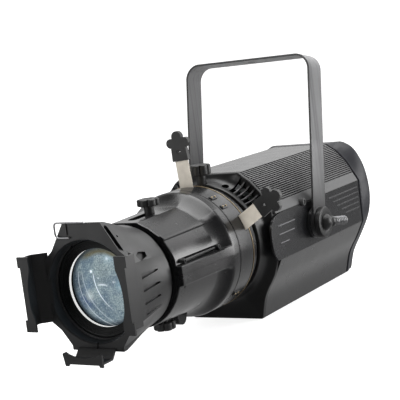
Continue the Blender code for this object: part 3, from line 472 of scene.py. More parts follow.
def reach(outline, angle):
    """How far out the outline lies in a direction."""
    dx, dz = math.cos(angle), math.sin(angle)
    best = 0.0
    for i in range(len(outline)):
        (ax, az), (bx, bz) = outline[i - 1], outline[i]
        ex, ez = bx - ax, bz - az
        across = dx * ez - dz * ex
        if abs(across) < 1e-9:
            continue
        distance = (ax * ez - az * ex) / across
        share = (ax * dz - az * dx) / across
        if distance > 0 and -1e-6 <= share <= 1 + 1e-6:
            best = max(best, distance)
    return best


def ring_angles(outline, sides=120):
    """Evenly spread angles, with those of the outline's corners among them."""
    corners = [math.atan2(z, x) % (2 * math.pi) for x, z in outline]
    spacing = 2 * math.pi / sides
    angles = list(corners)
    for i in range(sides):
        gaps = [abs((i * spacing - c + math.pi) % (2 * math.pi) - math.pi) for c in corners]
        if min(gaps) > spacing * 0.3:
            angles.append(i * spacing)
    return sorted(angles)


def outline_ring(outline, angles, y=0.0):
    radii = [reach(outline, a) for a in angles]
    return [(radius * math.cos(a), y, radius * math.sin(a)) for radius, a in zip(radii, angles)]


def circle_ring(radius, angles, y=0.0):
    return [(radius * math.cos(a), y, radius * math.sin(a)) for a in angles]


def between(first, second, share, y):
    return [(a[0] + (b[0] - a[0]) * share, y, a[2] + (b[2] - a[2]) * share) for a, b in zip(first, second)]


def at(ring, y):
    return [(x, y, z) for x, _, z in ring]


def linked(name, data):
    obj = bpy.data.objects.new(name, data)
    bpy.context.scene.collection.objects.link(obj)
    return obj


def raw(name, shape):
    """A mesh object in metres, with its faces turned outwards."""
    points, faces = shape
    mesh = bpy.data.meshes.new(name)
    mesh.from_pydata([(x * MM, y * MM, z * MM + AXIS) for x, y, z in points], [], faces)
    work = bmesh.new()
    work.from_mesh(mesh)
    bmesh.ops.recalc_face_normals(work, faces=work.faces)
    if work.calc_volume(signed=True) < 0:
        bmesh.ops.reverse_faces(work, faces=work.faces)
    work.to_mesh(mesh)
    work.free()
    return linked(name, mesh)


def settle(obj):
    """Turns the modifiers into plain mesh."""
    bpy.context.view_layer.update()
    graph = bpy.context.evaluated_depsgraph_get()
    mesh = bpy.data.meshes.new_from_object(obj.evaluated_get(graph))
    obj.modifiers.clear()
    obj.data = mesh


def shaped(obj, shape, operation="DIFFERENCE"):
    helper = raw("helper", shape)
    modifier = obj.modifiers.new("shape", "BOOLEAN")
    modifier.operation = operation
    modifier.solver = "EXACT"
    modifier.object = helper
    settle(obj)
    bpy.data.objects.remove(helper)


def rounded(obj, width, segments=2, angle=30.0):
    """Rounds the edges sharper than an angle, and shades the rest smooth."""
    if width:
        work = bmesh.new()
        work.from_mesh(obj.data)
        bmesh.ops.remove_doubles(work, verts=work.verts, dist=2e-6)
        bmesh.ops.dissolve_limit(work, angle_limit=math.radians(0.6), verts=work.verts, edges=work.edges)
        work.to_mesh(obj.data)
        work.free()
        modifier = obj.modifiers.new("edges", "BEVEL")
        modifier.width = width * MM
        modifier.segments = segments
        modifier.limit_method = "ANGLE"
        modifier.angle_limit = math.radians(angle)
        modifier.use_clamp_overlap = True
        modifier.miter_outer = "MITER_ARC"
    obj.data.shade_smooth()
    obj.data.set_sharp_from_angle(angle=math.radians(50.0))
    weighted = obj.modifiers.new("normals", "WEIGHTED_NORMAL")
    weighted.keep_sharp = True
    settle(obj)


def finished(obj, slot, body, nodes, material=None):
    obj.data.materials.clear()
    obj.data.materials.append(MAT[material or slot])
    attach(obj, body)
    if nodes:
        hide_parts(*nodes)


def piece(name, shape, slot, body, nodes=(), cuts=(), joins=(), bevel=0.4, segments=2, angle=30.0,
          material=None):
    obj = raw(name, shape)
    for extra in joins:
        shaped(obj, extra, "UNION")
    for extra in cuts:
        shaped(obj, extra)
    rounded(obj, bevel, segments, angle)
    finished(obj, slot, body, nodes, material)


def refined(node, slot, body="housing", bevel=0.5):
    """A copy of a CAD node with its edges rounded, standing in for the node."""
    obj = linked(node + "_finish", NODES[node].data.copy())
    rounded(obj, bevel)
    finished(obj, slot, body, [node])


# ---------------------------------------------------------------- housing

BASE = -AXIS / MM
SIDES = (("right", as_drawn), ("left", mirrored))
FRONT_Y, SEAM_Y = -118.0, 178.0
FLANK = [(SIDE_X, SIDE_BOTTOM), (88.7, -61.0), (77.0, -79.0), (69.7, -94.6), (63.8, -118.0), (60.0, BASE)]
SHOULDER = [(66.4, 90.3), (83.0, 72.0), BAND]


def smooth_flank(points, bottom):
    foot = [(points[-2][0] - 1.0, bottom + 1.2), (points[-1][0], bottom)]
    return eased([(SIDE_X + 3.0, SIDE_BOTTOM + 9.0), *points[:-1]], 4)[4:] + foot


# How many fins, where crest and groove start and end in the pitch of one, and how deep the groove is.
FINS, CREST_END, GROOVE_START, GROOVE_END, GROOVE = 20, 0.40, 0.50, 0.92, 2.6


def fin_point(turns, drop=0.0):
    """A point of the shoulder, counted in fins from its foot and dropped below the crests."""
    share = turns / (FINS + CREST_END)
    angle = FIN_LOW + (FIN_HIGH - FIN_LOW) * share
    radius = FIN_LOW_RADIUS + (FIN_HIGH_RADIUS - FIN_LOW_RADIUS) * share - drop
    return radius * math.cos(angle), radius * math.sin(angle)


def fins():
    steps = ((0.0, 0.0), (CREST_END, 0.0), (GROOVE_START, GROOVE), (GROOVE_END, GROOVE))
    path = [fin_point(i + share, drop) for i in range(FINS) for share, drop in steps]
    return path + [fin_point(FINS), (TOP_HALF, TOP_Z)]


outer = [(SIDE_WALL, SIDE_BOTTOM + 0.3), (SIDE_WALL, SIDE_TOP - 0.3), (SIDE_X, SIDE_TOP + 0.4),
         (SIDE_X - 0.4, SIDE_TOP + 1.4)] + fins()
inner = [(47.0, 98.5), (64.0, 85.5), (80.0, 68.0), (92.0, 46.0), (95.9, 33.0), (95.9, SIDE_BOTTOM + 0.3)]
shell = both_sides(outer) + [(-x, z) for x, z in reversed(inner)] + inner
piece("housing_shell_finned", plate(shell, "Y", FRONT_Y, SEAM_Y), "black_paint", "housing", ["housing_shell"],
      bevel=0.3, angle=25.0, material="fin_paint")

flank = smooth_flank(FLANK, BASE)
flank_in = [(x - 3.3 if x > 62 else 57.0, max(z, BASE + 3.0)) for x, z in flank]
tray = both_sides(flank) + [(-x, z) for x, z in flank_in] + flank_in[::-1]
tray[0] = (SIDE_X, SIDE_BOTTOM - 0.3)
piece("lower_tray_smooth", plate(tray, "Y", FRONT_Y, SEAM_Y), "black_paint", "housing", ["lower_tray"],
      bevel=0.35, angle=25.0)

cover_front = eased([(-98.0, SIDE_TOP - 0.3), (-118.0, 33.6), (-131.0, 26.5), (-137.6, 15.0), (-139.0, 0.0),
                     (-137.0, -15.0), (-131.0, -28.0), (-126.0, SIDE_BOTTOM)], 5)
cover_outline = [(SEAM_Y, SIDE_BOTTOM), (SEAM_Y, SIDE_TOP - 0.3), *cover_front]
lines = [(-116.0, -62.0, 17.0), (-116.0, -66.0, 4.0), (-114.0, -86.0, -9.5)]
lines += [(62.0, 173.0, 26.5), (76.0, 173.0, 18.0), (90.0, 173.0, 9.5), (104.0, 173.0, 1.0),
          (118.0, 173.0, -7.5)]
stop_bolt = turned([(1.0, 98.0), (6.2, 98.0), (6.2, 107.2), (5.4, 108.2), (3.4, 108.4), (3.2, 106.6),
                    (0.4, 106.6)],
                   "X", 32, centre=(0.0, -32.5, 38.5))
for side, turn in SIDES:
    ribs = [plate([(a, z - 0.75), (b, z - 0.75), (b, z + 0.75), (a, z + 0.75)], "X", SIDE_X - 1.0,
                  SIDE_X + 0.65)
            for a, b, z in lines]
    piece(f"side_cover_{side}_smooth", turn(plate(cover_outline, "X", SIDE_WALL + 0.3, SIDE_X)),
          "cover_paint", "housing", [f"side_cover_{side}"], joins=[turn(together(*ribs))],
          bevel=0.55, segments=3)
    piece(f"stop_bolt_{side}", turn(stop_bolt), "black_plastic", "housing", bevel=0.3)

# The front casting blends from the round nose to the housing's outline.
NOSE_FRONT, NOSE_BORE, LOCK_KNOB_Y = -156.0, 72.5, -149.0
front_half = [(TOP_HALF, TOP_Z - 0.4), (66.0, 90.0), (82.6, 71.7), (95.4, 49.5), (99.0, 42.0), (99.0, -36.5)]
front_half += smooth_flank(FLANK, BASE)[3:]
front_outline = both_sides([(x, max(z, BASE + 0.1)) for x, z in front_half])
angles = ring_angles(front_outline, 144)
full = outline_ring(front_outline, angles)
near = circle_ring(91.0, angles)
rings = [circle_ring(88.5, angles, NOSE_FRONT), circle_ring(90.2, angles, NOSE_FRONT + 0.5),
         circle_ring(91.0, angles, NOSE_FRONT + 1.8)]
for y, share in ((-150.0, 0.015), (-144.0, 0.045), (-139.0, 0.10), (-135.0, 0.18), (-131.5, 0.32),
                 (-128.5, 0.54), (-126.3, 0.78), (-124.6, 0.93), (-123.6, 0.985), (-122.8, 1.0),
                 (-118.3, 1.0)):
    rings.append(between(near, full, share, y))
rings += [between(near, full, 0.8, -118.3), circle_ring(89.0, angles, -130.0),
          circle_ring(87.0, angles, -148.0), circle_ring(NOSE_BORE, angles, -149.0),
          circle_ring(NOSE_BORE, angles, NOSE_FRONT)]
slots = []
for angle in (32.0, 37.2, 42.4, 47.6, 52.8, 58.0):
    slot = block((84.0, -149.0, -3.7), (124.0, -124.5, 3.7))
    slots += [spun(slot, angle), spun(slot, 180.0 - angle)]
eye = turned([(5.6, 84.0), (5.6, 120.0)], "X", 40, centre=(0.0, -142.0, 0.0))
lock_hole = turned([(8.6, 60.0), (8.6, 120.0)], "Z", 40, centre=(0.0, LOCK_KNOB_Y, 0.0))
piece("front_bezel_smooth", swept(rings, closed=True), "black_paint", "housing", ["front_bezel"],
      cuts=[together(*slots), together(spun(eye, 67.0), spun(eye, 113.0)), lock_hole], bevel=0.45, angle=28.0,
      material="nose_paint")
# A matt black sheet behind the nose's slots: painted shade where one would see into the housing.
slot_shade_sheet = [(86.4, -147.4), (86.4, -123.0), (84.4, -123.0), (84.4, -147.4)]
piece("nose_slot_shade_sheet", turned(slot_shade_sheet, closed=True), "black_paint", "housing", cuts=[lock_hole], bevel=0.0,
      material="matt_black")

FLARED = both_sides(eased([(68.0, 102.3), (86.0, 91.5), (98.5, 71.5), (106.5, 47.5), (110.2, 16.0),
                           (107.8, -11.0), (101.0, -33.0), (87.5, -58.5), (75.0, -79.5), (67.0, -95.5),
                           (60.0, -121.0)], 3)
                    + [(57.5, BASE)])
HOUSING = both_sides([(TOP_HALF, TOP_Z), *SHOULDER, (SIDE_X, SIDE_TOP), (SIDE_X, SIDE_BOTTOM)] + flank[2:])
cap_in = inset(both_sides([(TOP_HALF, TOP_Z), *SHOULDER, (SIDE_X, SIDE_TOP), *FLANK]), 6.5)
angles = ring_angles(HOUSING, 144)
seam, start, end = (outline_ring(outline, angles) for outline in (inset(HOUSING, 3.4), HOUSING, FLARED))
rings = [at(seam, 182.6), at(seam, 183.6), at(start, 184.8), between(start, end, 0.06, 187.0)]
rings += [between(start, end, share, y) for share, y in ((0.35, 191.5), (0.68, 197.5), (0.92, 203.0),
                                                         (1.0, 206.6))]
inner_ring = outline_ring(inset(FLARED, 2.0), angles)
rings += [between(end, inner_ring, 0.4, 208.8), between(end, inner_ring, 1.0, 210.0)]
rings += [outline_ring(cap_in, angles, y) for y in (210.0, 182.0)]
piece("rear_cap_smooth", swept(rings, closed=True), "cover_paint", "housing", ["rear_cap"], bevel=0.5,
      angle=38.0, material="cap_paint")

# ---------------------------------------------------------------- rear panel and insides

refined("rear_panel", "black_paint", bevel=0.0)
for use, slot, ends in (("power", "black_plastic", ("inlet", "outlet")),
                        ("data", "plated_steel", ("input", "output"))):
    for end in ends:
        refined(f"{use}_{end}", slot)
for i in range(1, 5):
    refined(f"menu_button_{i}", "black_rubber", f"button_{i}")
refined("display_window", "display_glass")
refined("fan_frame", "black_plastic")
refined("fan_rotor", "black_plastic", "fan", 0.35)
KEPT = {
    "seam_gasket": "black_rubber", "heat_sink": "aluminium", "led_board": "circuit_board",
    "collimator_tube": "aluminium", "condenser_lens": "lens_glass", "driver_box": "plated_steel",
    "gate_plate": "plated_steel", "rear_lens": "lens_glass",
}
for node, slot in KEPT.items():
    NODES[node].data.materials.clear()
    NODES[node].data.materials.append(MAT[slot])


def screw(x, y, z, axis, radius=2.4):
    """A domed screw head that faces along an axis."""
    profile = [(radius * 0.98, -1.5), (radius, 0.2), (radius * 0.86, 0.9), (radius * 0.55, 1.35), (0.3, 1.5)]
    return turned(profile, axis, 24, centre=(x, y, z))


PANEL_REAR = 198.0
POWER_SOCKETS, DATA_SOCKETS = ((-30.0, -58.0), (30.0, -58.0)), ((-26.0, -96.0), (26.0, -96.0))
panel_screws = [screw(x, PANEL_REAR + 0.2, z, "Y") for x, z in
                ((-40.0, 92.0), (40.0, 92.0), (-88.0, 20.0), (88.0, 20.0), (-60.0, -78.0), (60.0, -78.0))]
panel_screws += [screw(x + d, PANEL_REAR + 0.2, z + d, "Y", 1.7) for x, z in POWER_SOCKETS
                 for d in (-12.0, 12.0)]
piece("rear_panel_screws", together(*panel_screws), "plated_steel", "housing", bevel=0.0)
pins = [block((x - 0.9, 190.5, z - 2.6), (x + 0.9, 199.0, z + 2.6)) for cx, cz in POWER_SOCKETS
        for x, z in ((cx - 4.0, cz), (cx + 4.0, cz), (cx, cz + 3.6))]
pins += [turned([(0.9, 190.5), (0.9, 198.5)], "Y", 16, centre=(x, 0.0, z)) for centre in DATA_SOCKETS
         for x, z in arc(centre, 3.6, 18.0, 306.0, 4)]
piece("connector_pins", together(*pins), "plated_steel", "housing", bevel=0.0, material="brass")
piece("display_bezel", block((-44.0, PANEL_REAR + 0.05, -30.5), (0.0, 200.3, -9.5)), "black_plastic",
      "housing", cuts=[block((-41.6, 190.0, -28.3), (-2.4, 205.0, -11.7))], bevel=0.5, segments=3)

# ---------------------------------------------------------------- barrel

BORE = 68.0
RING_R = 93.0
RIB = [(64.6, 50.8), (63.6, 52.6), (60.4, 55.6), (58.4, 56.6), (57.0, 55.3)]
UPPER = [(78.6, 0.2), (88.0, 0.2), (88.0, 11.6), (87.2, 12.6), (79.6, 13.0), (78.6, 14.0), (78.2, 21.5),
         (75.6, 28.5), (71.0, 37.0), (66.6, 43.8), (63.6, 48.2), *RIB, (53.0, 58.0), (40.0, 67.0),
         (26.0, 73.6), (23.0, 75.4), (21.0, 76.0)]
LOWER = [(78.6, 0.2), (88.0, 0.2), (88.0, 14.0), (87.0, 15.4), (80.0, 17.5), (76.0, 28.0), (71.0, 38.0),
         (64.0, 47.5), (58.0, 54.5), (50.0, 61.5), (42.0, 67.0), (34.0, 71.0), (24.0, 75.0), (14.0, 77.5)]


def refined_path(path, most=4.0):
    """The path with points added, so that none is further round from the last than this many degrees."""
    out = [path[0]]
    for (ax, az), (bx, bz) in zip(path, path[1:]):
        span = abs(math.degrees(math.atan2(bz, bx) - math.atan2(az, ax)))
        pieces = max(1, math.ceil(span / most))
        out += [(ax + (bx - ax) * i / pieces, az + (bz - az) * i / pieces) for i in range(1, pieces + 1)]
    return out


LEAST_TURN = 0.0004  # least angle between two points of a section, in radians
SPLIT_GAP = 0.15  # half the gap between the barrel's halves


def barrel_half(section, up):
    """Half of the barrel: its section narrows a little to the front and flares to the round ring behind."""
    path = refined_path(both_sides(section))
    turns = []
    for x, z in path:
        turns.append(max(math.atan2(z, x), turns[-1] + LEAST_TURN if turns else 0.0025))

    def arc_ring(radius, y):
        low = math.asin(SPLIT_GAP / radius)
        held = [min(max(t, low), math.pi - low - LEAST_TURN * (len(turns) - i)) for i, t in enumerate(turns)]
        return [(radius * math.cos(t), y, up * radius * math.sin(t)) for t in held]

    def path_ring(scale, y):
        return [(x * scale, y, up * max(z * scale, SPLIT_GAP)) for x, z in path]

    plain, flare = path_ring(1.0, 0.0), arc_ring(RING_R, 0.0)
    outside = [path_ring(0.945, -357.0), path_ring(0.956, -356.3), path_ring(0.962, -355.0)]
    outside += [path_ring(0.962 + 0.038 * i / 4, -355.0 + 92.0 * i / 4) for i in range(1, 5)]
    outside += [between(plain, flare, share, y) for share, y in
                ((0.04, -259.0), (0.14, -254.0), (0.32, -248.0), (0.58, -241.5), (0.82, -236.5),
                 (0.95, -233.0), (1.0, -230.0), (1.0, -217.2))]
    outside += [arc_ring(RING_R - 0.7, -216.4)]
    return swept([ring + list(reversed(arc_ring(BORE, ring[0][1]))) for ring in outside])


FOCUS_START, FOCUS_END, FOCUS_HALF = -334.0, -294.0, 7.8


def focus_slot(low, high):
    outline = arc((0.0, FOCUS_END), FOCUS_HALF, 0.0, 180.0, 12)
    outline += arc((0.0, FOCUS_START), FOCUS_HALF, 180.0, 360.0, 12)
    return plate(outline, "Z", low, high)


channel = plate([(-347.0, 13.9), (-251.0, 13.9), (-251.0, 20.4), (-347.0, 20.4)], "X", 73.0, 92.0)
piece("barrel_upper_casting", barrel_half(UPPER, 1), "black_paint", "barrel", ["barrel_upper"],
      cuts=[focus_slot(50.0, 100.0), paired(channel)], angle=22.0)
lug = [(-270.0, -70.0), (-269.0, -83.0), *arc((-257.0, -86.0), 11.0, 200.0, 330.0, 8), (-243.0, -80.0),
       (-236.0, -72.0)]
piece("barrel_lower_casting", barrel_half(LOWER, -1), "black_paint", "barrel", ["barrel_lower"],
      joins=[plate(lug, "X", -7.0, 7.0)], angle=22.0,
      cuts=[focus_slot(-100.0, -50.0),
            turned([(1.7, 70.0), (1.7, 100.0)], "X", 20, centre=(0.0, -343.0, -19.0))])
rail = block((76.0, -341.0, 15.6), (80.6, -262.0, 18.4))
bolt = [(3.0, 73.0), (3.0, 82.6), (2.6, 83.2), (1.7, 83.2), (1.6, 82.0), (0.3, 82.0)]
heads = together(*[turned(bolt, "X", 24, centre=(0.0, y, 17.1)) for y in (-344.2, -254.6)])
for side, turn in SIDES:
    piece(f"slot_rail_{side}", turn(rail), "black_paint", "barrel", bevel=0.6, segments=3)
    piece(f"slot_bolts_{side}", turn(heads), "plated_steel", "barrel", bevel=0.15, material="black_plastic")

# ---------------------------------------------------------------- shutter ring and shutters

# Direction of the handle in degrees, sideways offset of its neck, plane of the blade, and how far it is in.
SHUTTERS = [("top", 94.0, -4.0, -187.6, 0.0), ("right", 32.0, -13.0, -186.2, 7.0),
            ("left", 180.0, 0.0, -184.8, 0.0), ("bottom", 214.0, 0.0, -183.4, 0.0)]
NECK = 11.4  # half width
ring_profile = [(92.2, -215.8), (RING_R, -215.0), (RING_R, -179.6), (92.4, -178.9), (90.0, -178.9),
                (90.0, -190.0), (50.0, -190.0), (50.0, -194.0), (86.0, -194.0), (86.0, -215.8)]
windows = [spun(block((70.0, y - 1.4, off - NECK - 1.6), (99.0, y + 1.4, off + NECK + 1.6)), deg)
           for _, deg, off, y, _ in SHUTTERS]
piece("shutter_ring_casting", turned(ring_profile, sides=128, closed=True), "black_paint", "barrel",
      ["shutter_ring"], cuts=windows, bevel=0.3)
shim = [(93.6, -178.7), (93.6, -177.3), (60.0, -177.3), (60.0, -178.7)]
piece("shutter_shim_plate", turned(shim, sides=128, closed=True), "blade_steel", "barrel", ["shutter_shim"],
      bevel=0.15, material="brass")
collar = [(88.0, -177.0), (88.0, -170.5), (86.8, -170.0), (86.8, -167.5), (88.0, -167.0), (88.0, -160.0),
          (86.0, -158.0), (72.0, -158.0), (72.0, -148.6), (76.5, -148.6), (76.5, -142.0), (58.0, -142.0),
          (58.0, -177.0)]
piece("barrel_collar_turned", turned(collar, sides=128, closed=True), "black_paint", "barrel",
      ["barrel_collar"], bevel=0.25)
places = (44.0, 57.0, 136.0, 228.0, 318.0)
clips = [spun(block((91.0, -211.0, -3.6), (94.6, -196.0, 3.6)), angle) for angle in places]
screws = [spun(screw(94.6, y, 0.0, "X", 1.5), angle) for angle in places for y in (-199.5, -207.5)]
piece("ring_clips", together(*clips), "black_paint", "barrel", bevel=0.7, segments=3)
piece("ring_screws", together(*screws), "plated_steel", "barrel", bevel=0.0, material="brass")

right_side = [(133.2, 12.8), (134.0, 13.8), (144.0, 13.2), (152.6, 12.6)]
right_side += arc((160.2, 12.2), 7.2, 200.0, -6.0, 14) + [(166.7, 9.3)]
right_side += arc((169.2, 0.0), 8.4, 104.0, 4.0, 10)
head = right_side + [(u, -v) for u, v in reversed(right_side)]
EYE = 147.0  # how far out the hole in the handle lies
for name, degrees, offset, y, pushed in SHUTTERS:
    low, high = offset - NECK, offset + NECK
    outline = [(44.0, -38.0), (46.0, -40.0), (76.0, -40.0), (78.0, min(-38.0, low - 2.0)), (78.0, low),
               (140.0, low), (140.0, high), (78.0, high), (78.0, 38.0), (76.0, 40.0), (46.0, 40.0),
               (44.0, 38.0)]
    blade = plate([(u - pushed, v) for u, v in outline], "Y", y - 0.5, y + 0.5)
    piece(f"shutter_blade_{name}_plate", spun(blade, degrees), "blade_steel", f"shutter_{name}",
          [f"shutter_blade_{name}"], bevel=0.15)
    paddle = plate([(u - pushed, v + offset) for u, v in head], "Y", y - 3.4, y + 3.4)
    pocket = block((128.0 - pushed, y - 0.7, low - 0.2), (140.3 - pushed, y + 0.7, high + 0.2))
    eye, dish = (turned([(radius, y + start), (radius, y + end)], "Y", 32, centre=(EYE - pushed, 0.0, offset))
                 for radius, start, end in ((2.3, -6.0, 6.0), (4.0, -4.4, -3.0)))
    piece(f"shutter_handle_{name}_paddle", spun(paddle, degrees), "black_plastic", f"shutter_{name}",
          [f"shutter_handle_{name}"], cuts=[spun(shape, degrees) for shape in (pocket, eye, dish)], bevel=0.9,
          segments=3)

# ---------------------------------------------------------------- lens tube and lenses

tube = [(66.0, -262.0), (66.0, -431.2), (65.2, -432.0), (63.4, -432.0), (62.6, -431.4), (62.6, -430.2)]
for i in range(3):  # baffle steps in front of the lens
    tube += [(61.4 - 1.9 * i, -430.2 + 1.3 * i), (61.4 - 1.9 * i, -428.9 + 1.3 * i)]
tube += [(53.6, -426.4), (53.6, -425.0), (55.5, -425.0), (55.5, -400.0), (51.0, -400.0), (51.0, -396.0),
         (62.5, -394.0), (62.5, -311.5), (51.0, -311.5), (51.0, -307.5), (62.5, -306.0), (62.5, -262.0)]
piece("lens_tube_turned", turned(tube, sides=112, closed=True), "black_paint", "lens_tube_group",
      ["lens_tube"], bevel=0.2, material="matt_black")
rim = [(54.9, -424.4), (54.9, -420.4), (53.9, -420.4), (53.7, -424.4)]
piece("lens_rim_ring", turned(rim, sides=112, closed=True), "bright_ring", "lens_tube_group", ["lens_rim"],
      bevel=0.0)
dome = [(0.5, -424.2), (8.0, -424.0), (16.0, -423.5), (24.0, -422.6), (32.0, -421.3), (40.0, -419.6),
        (46.0, -418.0), (50.0, -416.8), (52.6, -415.8), (54.9, -415.4), (54.9, -411.0), (0.5, -411.0)]
piece("front_lens_dome", turned(dome, sides=112), "lens_glass", "lens_tube_group", ["front_lens"], bevel=0.0,
      material="lens_face")

# ---------------------------------------------------------------- colour-frame holder

HOLDER_FRONT, HOLDER_REAR = -450.0, -366.0
holder_outline = both_sides([(31.0, 92.0), (55.0, 55.0), (76.0, 38.0), (76.0, -38.0), (57.0, -52.5),
                             (42.0, -73.0), (42.0, -79.0)])
angles = ring_angles(holder_outline, 120)
plate_ring, back_ring = outline_ring(holder_outline, angles), circle_ring(72.3, angles)
rings = [at(plate_ring, HOLDER_FRONT)]
rings += [between(plate_ring, back_ring, share, y) for share, y in
          ((0.02, -443.0), (0.22, -428.0), (0.46, -412.0), (0.66, -398.0), (0.80, -386.0), (0.92, -375.0))]
rings += [circle_ring(radius, angles, y) for radius, y in
          ((72.3, HOLDER_REAR), (66.3, HOLDER_REAR), (66.3, -433.0), (68.2, -435.0), (69.2, -448.0),
           (70.6, HOLDER_FRONT))]
LIP_FRONT, LIP_BACK, RAIL_X, RAIL_BACK = -483.0, -480.4, 85.0, -459.0


def rail_section(out, foot, neck, within):
    """A rail's section: distance from the axis against Y."""
    return [(out, LIP_FRONT + 0.4), (out, RAIL_BACK), (foot, HOLDER_FRONT + 4.0), (neck, HOLDER_FRONT - 3.0),
            (within, RAIL_BACK - 2.5), (within, LIP_FRONT + 0.4)]


rail = plate(rail_section(RAIL_X, 66.0, 71.5, 82.2), "Z", -41.0, 53.0)
floor_rail = swept([[(x, y, -r) for r, y in rail_section(88.0, 72.0, 76.0, 85.2)] for x in (-31.0, 29.0)])
lip = [(88.5, -47.0), (88.5, -31.0), (84.8, -31.0), (84.8, 40.0), (88.5, 40.0), (88.5, 54.5), (70.0, 54.5)]
lip += eased([(70.0, 37.0), (74.0, 24.0), (76.3, 10.0), (76.8, -3.0), (75.5, -17.0), (71.5, -32.0),
              (71.5, -47.0)], 3)
side_lip = plate(lip, "Y", LIP_FRONT, LIP_BACK)
floor_lip = [(-31.0, -91.0), (-34.0, -74.0)]
floor_lip += eased([(-29.0, -72.0), (-21.0, -76.2), (-10.0, -78.6), (0.0, -79.2), (10.0, -78.6),
                    (21.0, -76.2), (28.0, -73.0)], 3)
floor_lip += [(30.0, -75.0), (30.0, -91.0), (25.0, -91.0), (24.0, -88.3), (-25.0, -88.3), (-26.0, -91.0)]
bottom_lip = plate(floor_lip, "Y", LIP_FRONT, LIP_BACK)
latch = plate([(-30.0, 91.6), (-25.0, 91.6), (-24.0, 90.6), (-24.0, 77.4), (-25.0, 76.4), (-38.5, 76.4)], "Y",
              HOLDER_FRONT - 1.6, HOLDER_FRONT + 1.0)
slot_cut = arc((-444.4, 15.0), 4.0, 0.0, 180.0) + arc((-444.4, -15.0), 4.0, 180.0, 360.0)
slot_cut = spun(plate(slot_cut, "X", 74.5, 96.0), 57.0)
pin_hole = spun(turned([(1.7, 60.0), (1.7, 100.0)], "X", 20, centre=(0.0, -433.0, 12.0)), 50.0)
vents = [plate([(-436.0, z - 3.4), (-436.0, z + 4.6), (-394.0, z + 1.4), (-394.0, z - 0.6)], "X", 69.0, 96.0)
         for z in (17.0, 0.0, -17.0, -31.0)]
pocket = plate([(-431.0, -7.0), (-431.0, 3.0), (-418.0, 8.0), (-404.0, 5.0), (-408.0, -2.0)], "X", 72.5, 96.0)
notch = block((-0.9, -452.0, -80.0), (0.9, -446.0, -67.0))
cuts = [paired(slot_cut), paired(pin_hole), paired(*vents), paired(spun(pocket, 31.0)), notch]
piece("front_holder_casting", swept(rings, closed=True), "black_paint", "lens_tube_group", ["front_holder"],
      joins=[rail, mirrored(rail), floor_rail, side_lip, mirrored(side_lip), bottom_lip, latch], cuts=cuts,
      bevel=0.5, angle=24.0, material="holder_paint")

# ---------------------------------------------------------------- wire retainer


def wire(path, radius, sides=16):
    """A round wire along a path in one XZ plane."""
    turn = [2 * math.pi * j / sides for j in range(sides)]
    rings = []
    for i, (x, y, z) in enumerate(path):
        before, after = path[max(i - 1, 0)], path[min(i + 1, len(path) - 1)]
        tx, tz = after[0] - before[0], after[2] - before[2]
        length = math.hypot(tx, tz)
        nx, nz = -tz / length, tx / length
        rings.append([(x + nx * radius * math.cos(t), y + radius * math.sin(t), z + nz * radius * math.cos(t))
                      for t in turn])
    return swept(rings)


CLIP_Y, CLIP_Z = -452.6, 93.2
bend = [(8.0, CLIP_Z), (-34.5, CLIP_Z)] + arc((-37.5, CLIP_Z - 5.0), 5.0, 90.0, 180.0)
bend += [(-42.5, 79.0)] + arc((-36.5, 79.0), 6.0, 180.0, 270.0) + [(-20.0, 73.0)]
piece("retaining_wire", wire([(x, CLIP_Y, z) for x, z in bend], 1.2), "plated_steel", "frame_retainer",
      ["retaining_clip"], bevel=0.0)

# ---------------------------------------------------------------- knobs

KNOB_RADIUS, KNOB_NECK, LOBES, LOBE_DEPTH = 16.0, 7.2, 6, 5.0


def knob(y, base, top, neck, up):
    """A lobed knob on a round neck, turned about a vertical axis and dished on top."""
    sides = LOBES * 24
    rings = [[(KNOB_NECK, neck)] * sides, [(KNOB_NECK, base)] * sides]
    for trim, height in ((3.2, base), (0.8, base + 0.5), (0.0, base + 1.6), (0.0, top - 2.0),
                         (0.5, top - 1.0), (1.6, top - 0.3), (3.4, top), (9.0, top), (9.8, top - 0.9),
                         (15.0, top - 0.9)):
        depth = LOBE_DEPTH * max(0.0, 1.0 - trim / 6.0)
        waves = [abs(math.sin(math.pi * LOBES * i / sides)) ** 0.45 for i in range(sides)]
        rings.append([(max(KNOB_RADIUS - trim - depth * (1.0 - wave), 0.4), height) for wave in waves])
    return swept([[(r * math.cos(2 * math.pi * i / sides), y + r * math.sin(2 * math.pi * i / sides), up * h)
                   for i, (r, h) in enumerate(ring)] for ring in rings])


for name, body, y, base, top, neck, up in (
    ("focus_knob_top", "focus_knob_upper", FOCUS_END, 85.0, 95.5, 66.3, 1),
    ("focus_knob_bottom", "focus_knob_lower", FOCUS_END, 82.0, 94.0, 66.3, -1),
    ("barrel_lock_knob", "barrel_lock", LOCK_KNOB_Y, 105.0, 121.0, 80.0, 1),
):
    piece(name + "_fluted", knob(y, base, top, neck, up), "black_plastic", body, [name], bevel=0.0)

# ---------------------------------------------------------------- yoke

HALF, HEIGHT, WIDTH, THICK = 114.3, 266.0, 41.7, 3.1


def leaned(*shapes):
    return pitched(together(*shapes), -YOKE_TILT)


def bent(half, top, corner):
    return [(half, 0.0)] + arc((half - corner, top - corner), corner, 0.0, 90.0, 14)


outside, inside = bent(HALF, HEIGHT, 25.0), bent(HALF - THICK, HEIGHT - THICK, 21.9)
strap = both_sides(outside) + [(-x, z) for x, z in inside] + inside[::-1]
disc = turned([(24.4, HALF - 4.2), (24.4, HALF + 1.3)], "X", 72)
pivot_hole = turned([(6.5, HALF - 9.0), (6.5, HALF + 9.0)], "X", 32)
bolt_hole = turned([(6.5, HEIGHT - 9.0), (6.5, HEIGHT + 9.0)], "Z", 40)
piece("yoke_strap_bent", leaned(plate(strap, "Y", -WIDTH / 2, WIDTH / 2)), "yoke_paint", "yoke",
      ["yoke_strap"], joins=[leaned(paired(disc))], cuts=[leaned(paired(pivot_hole), bolt_hole)], bevel=0.55,
      segments=3)

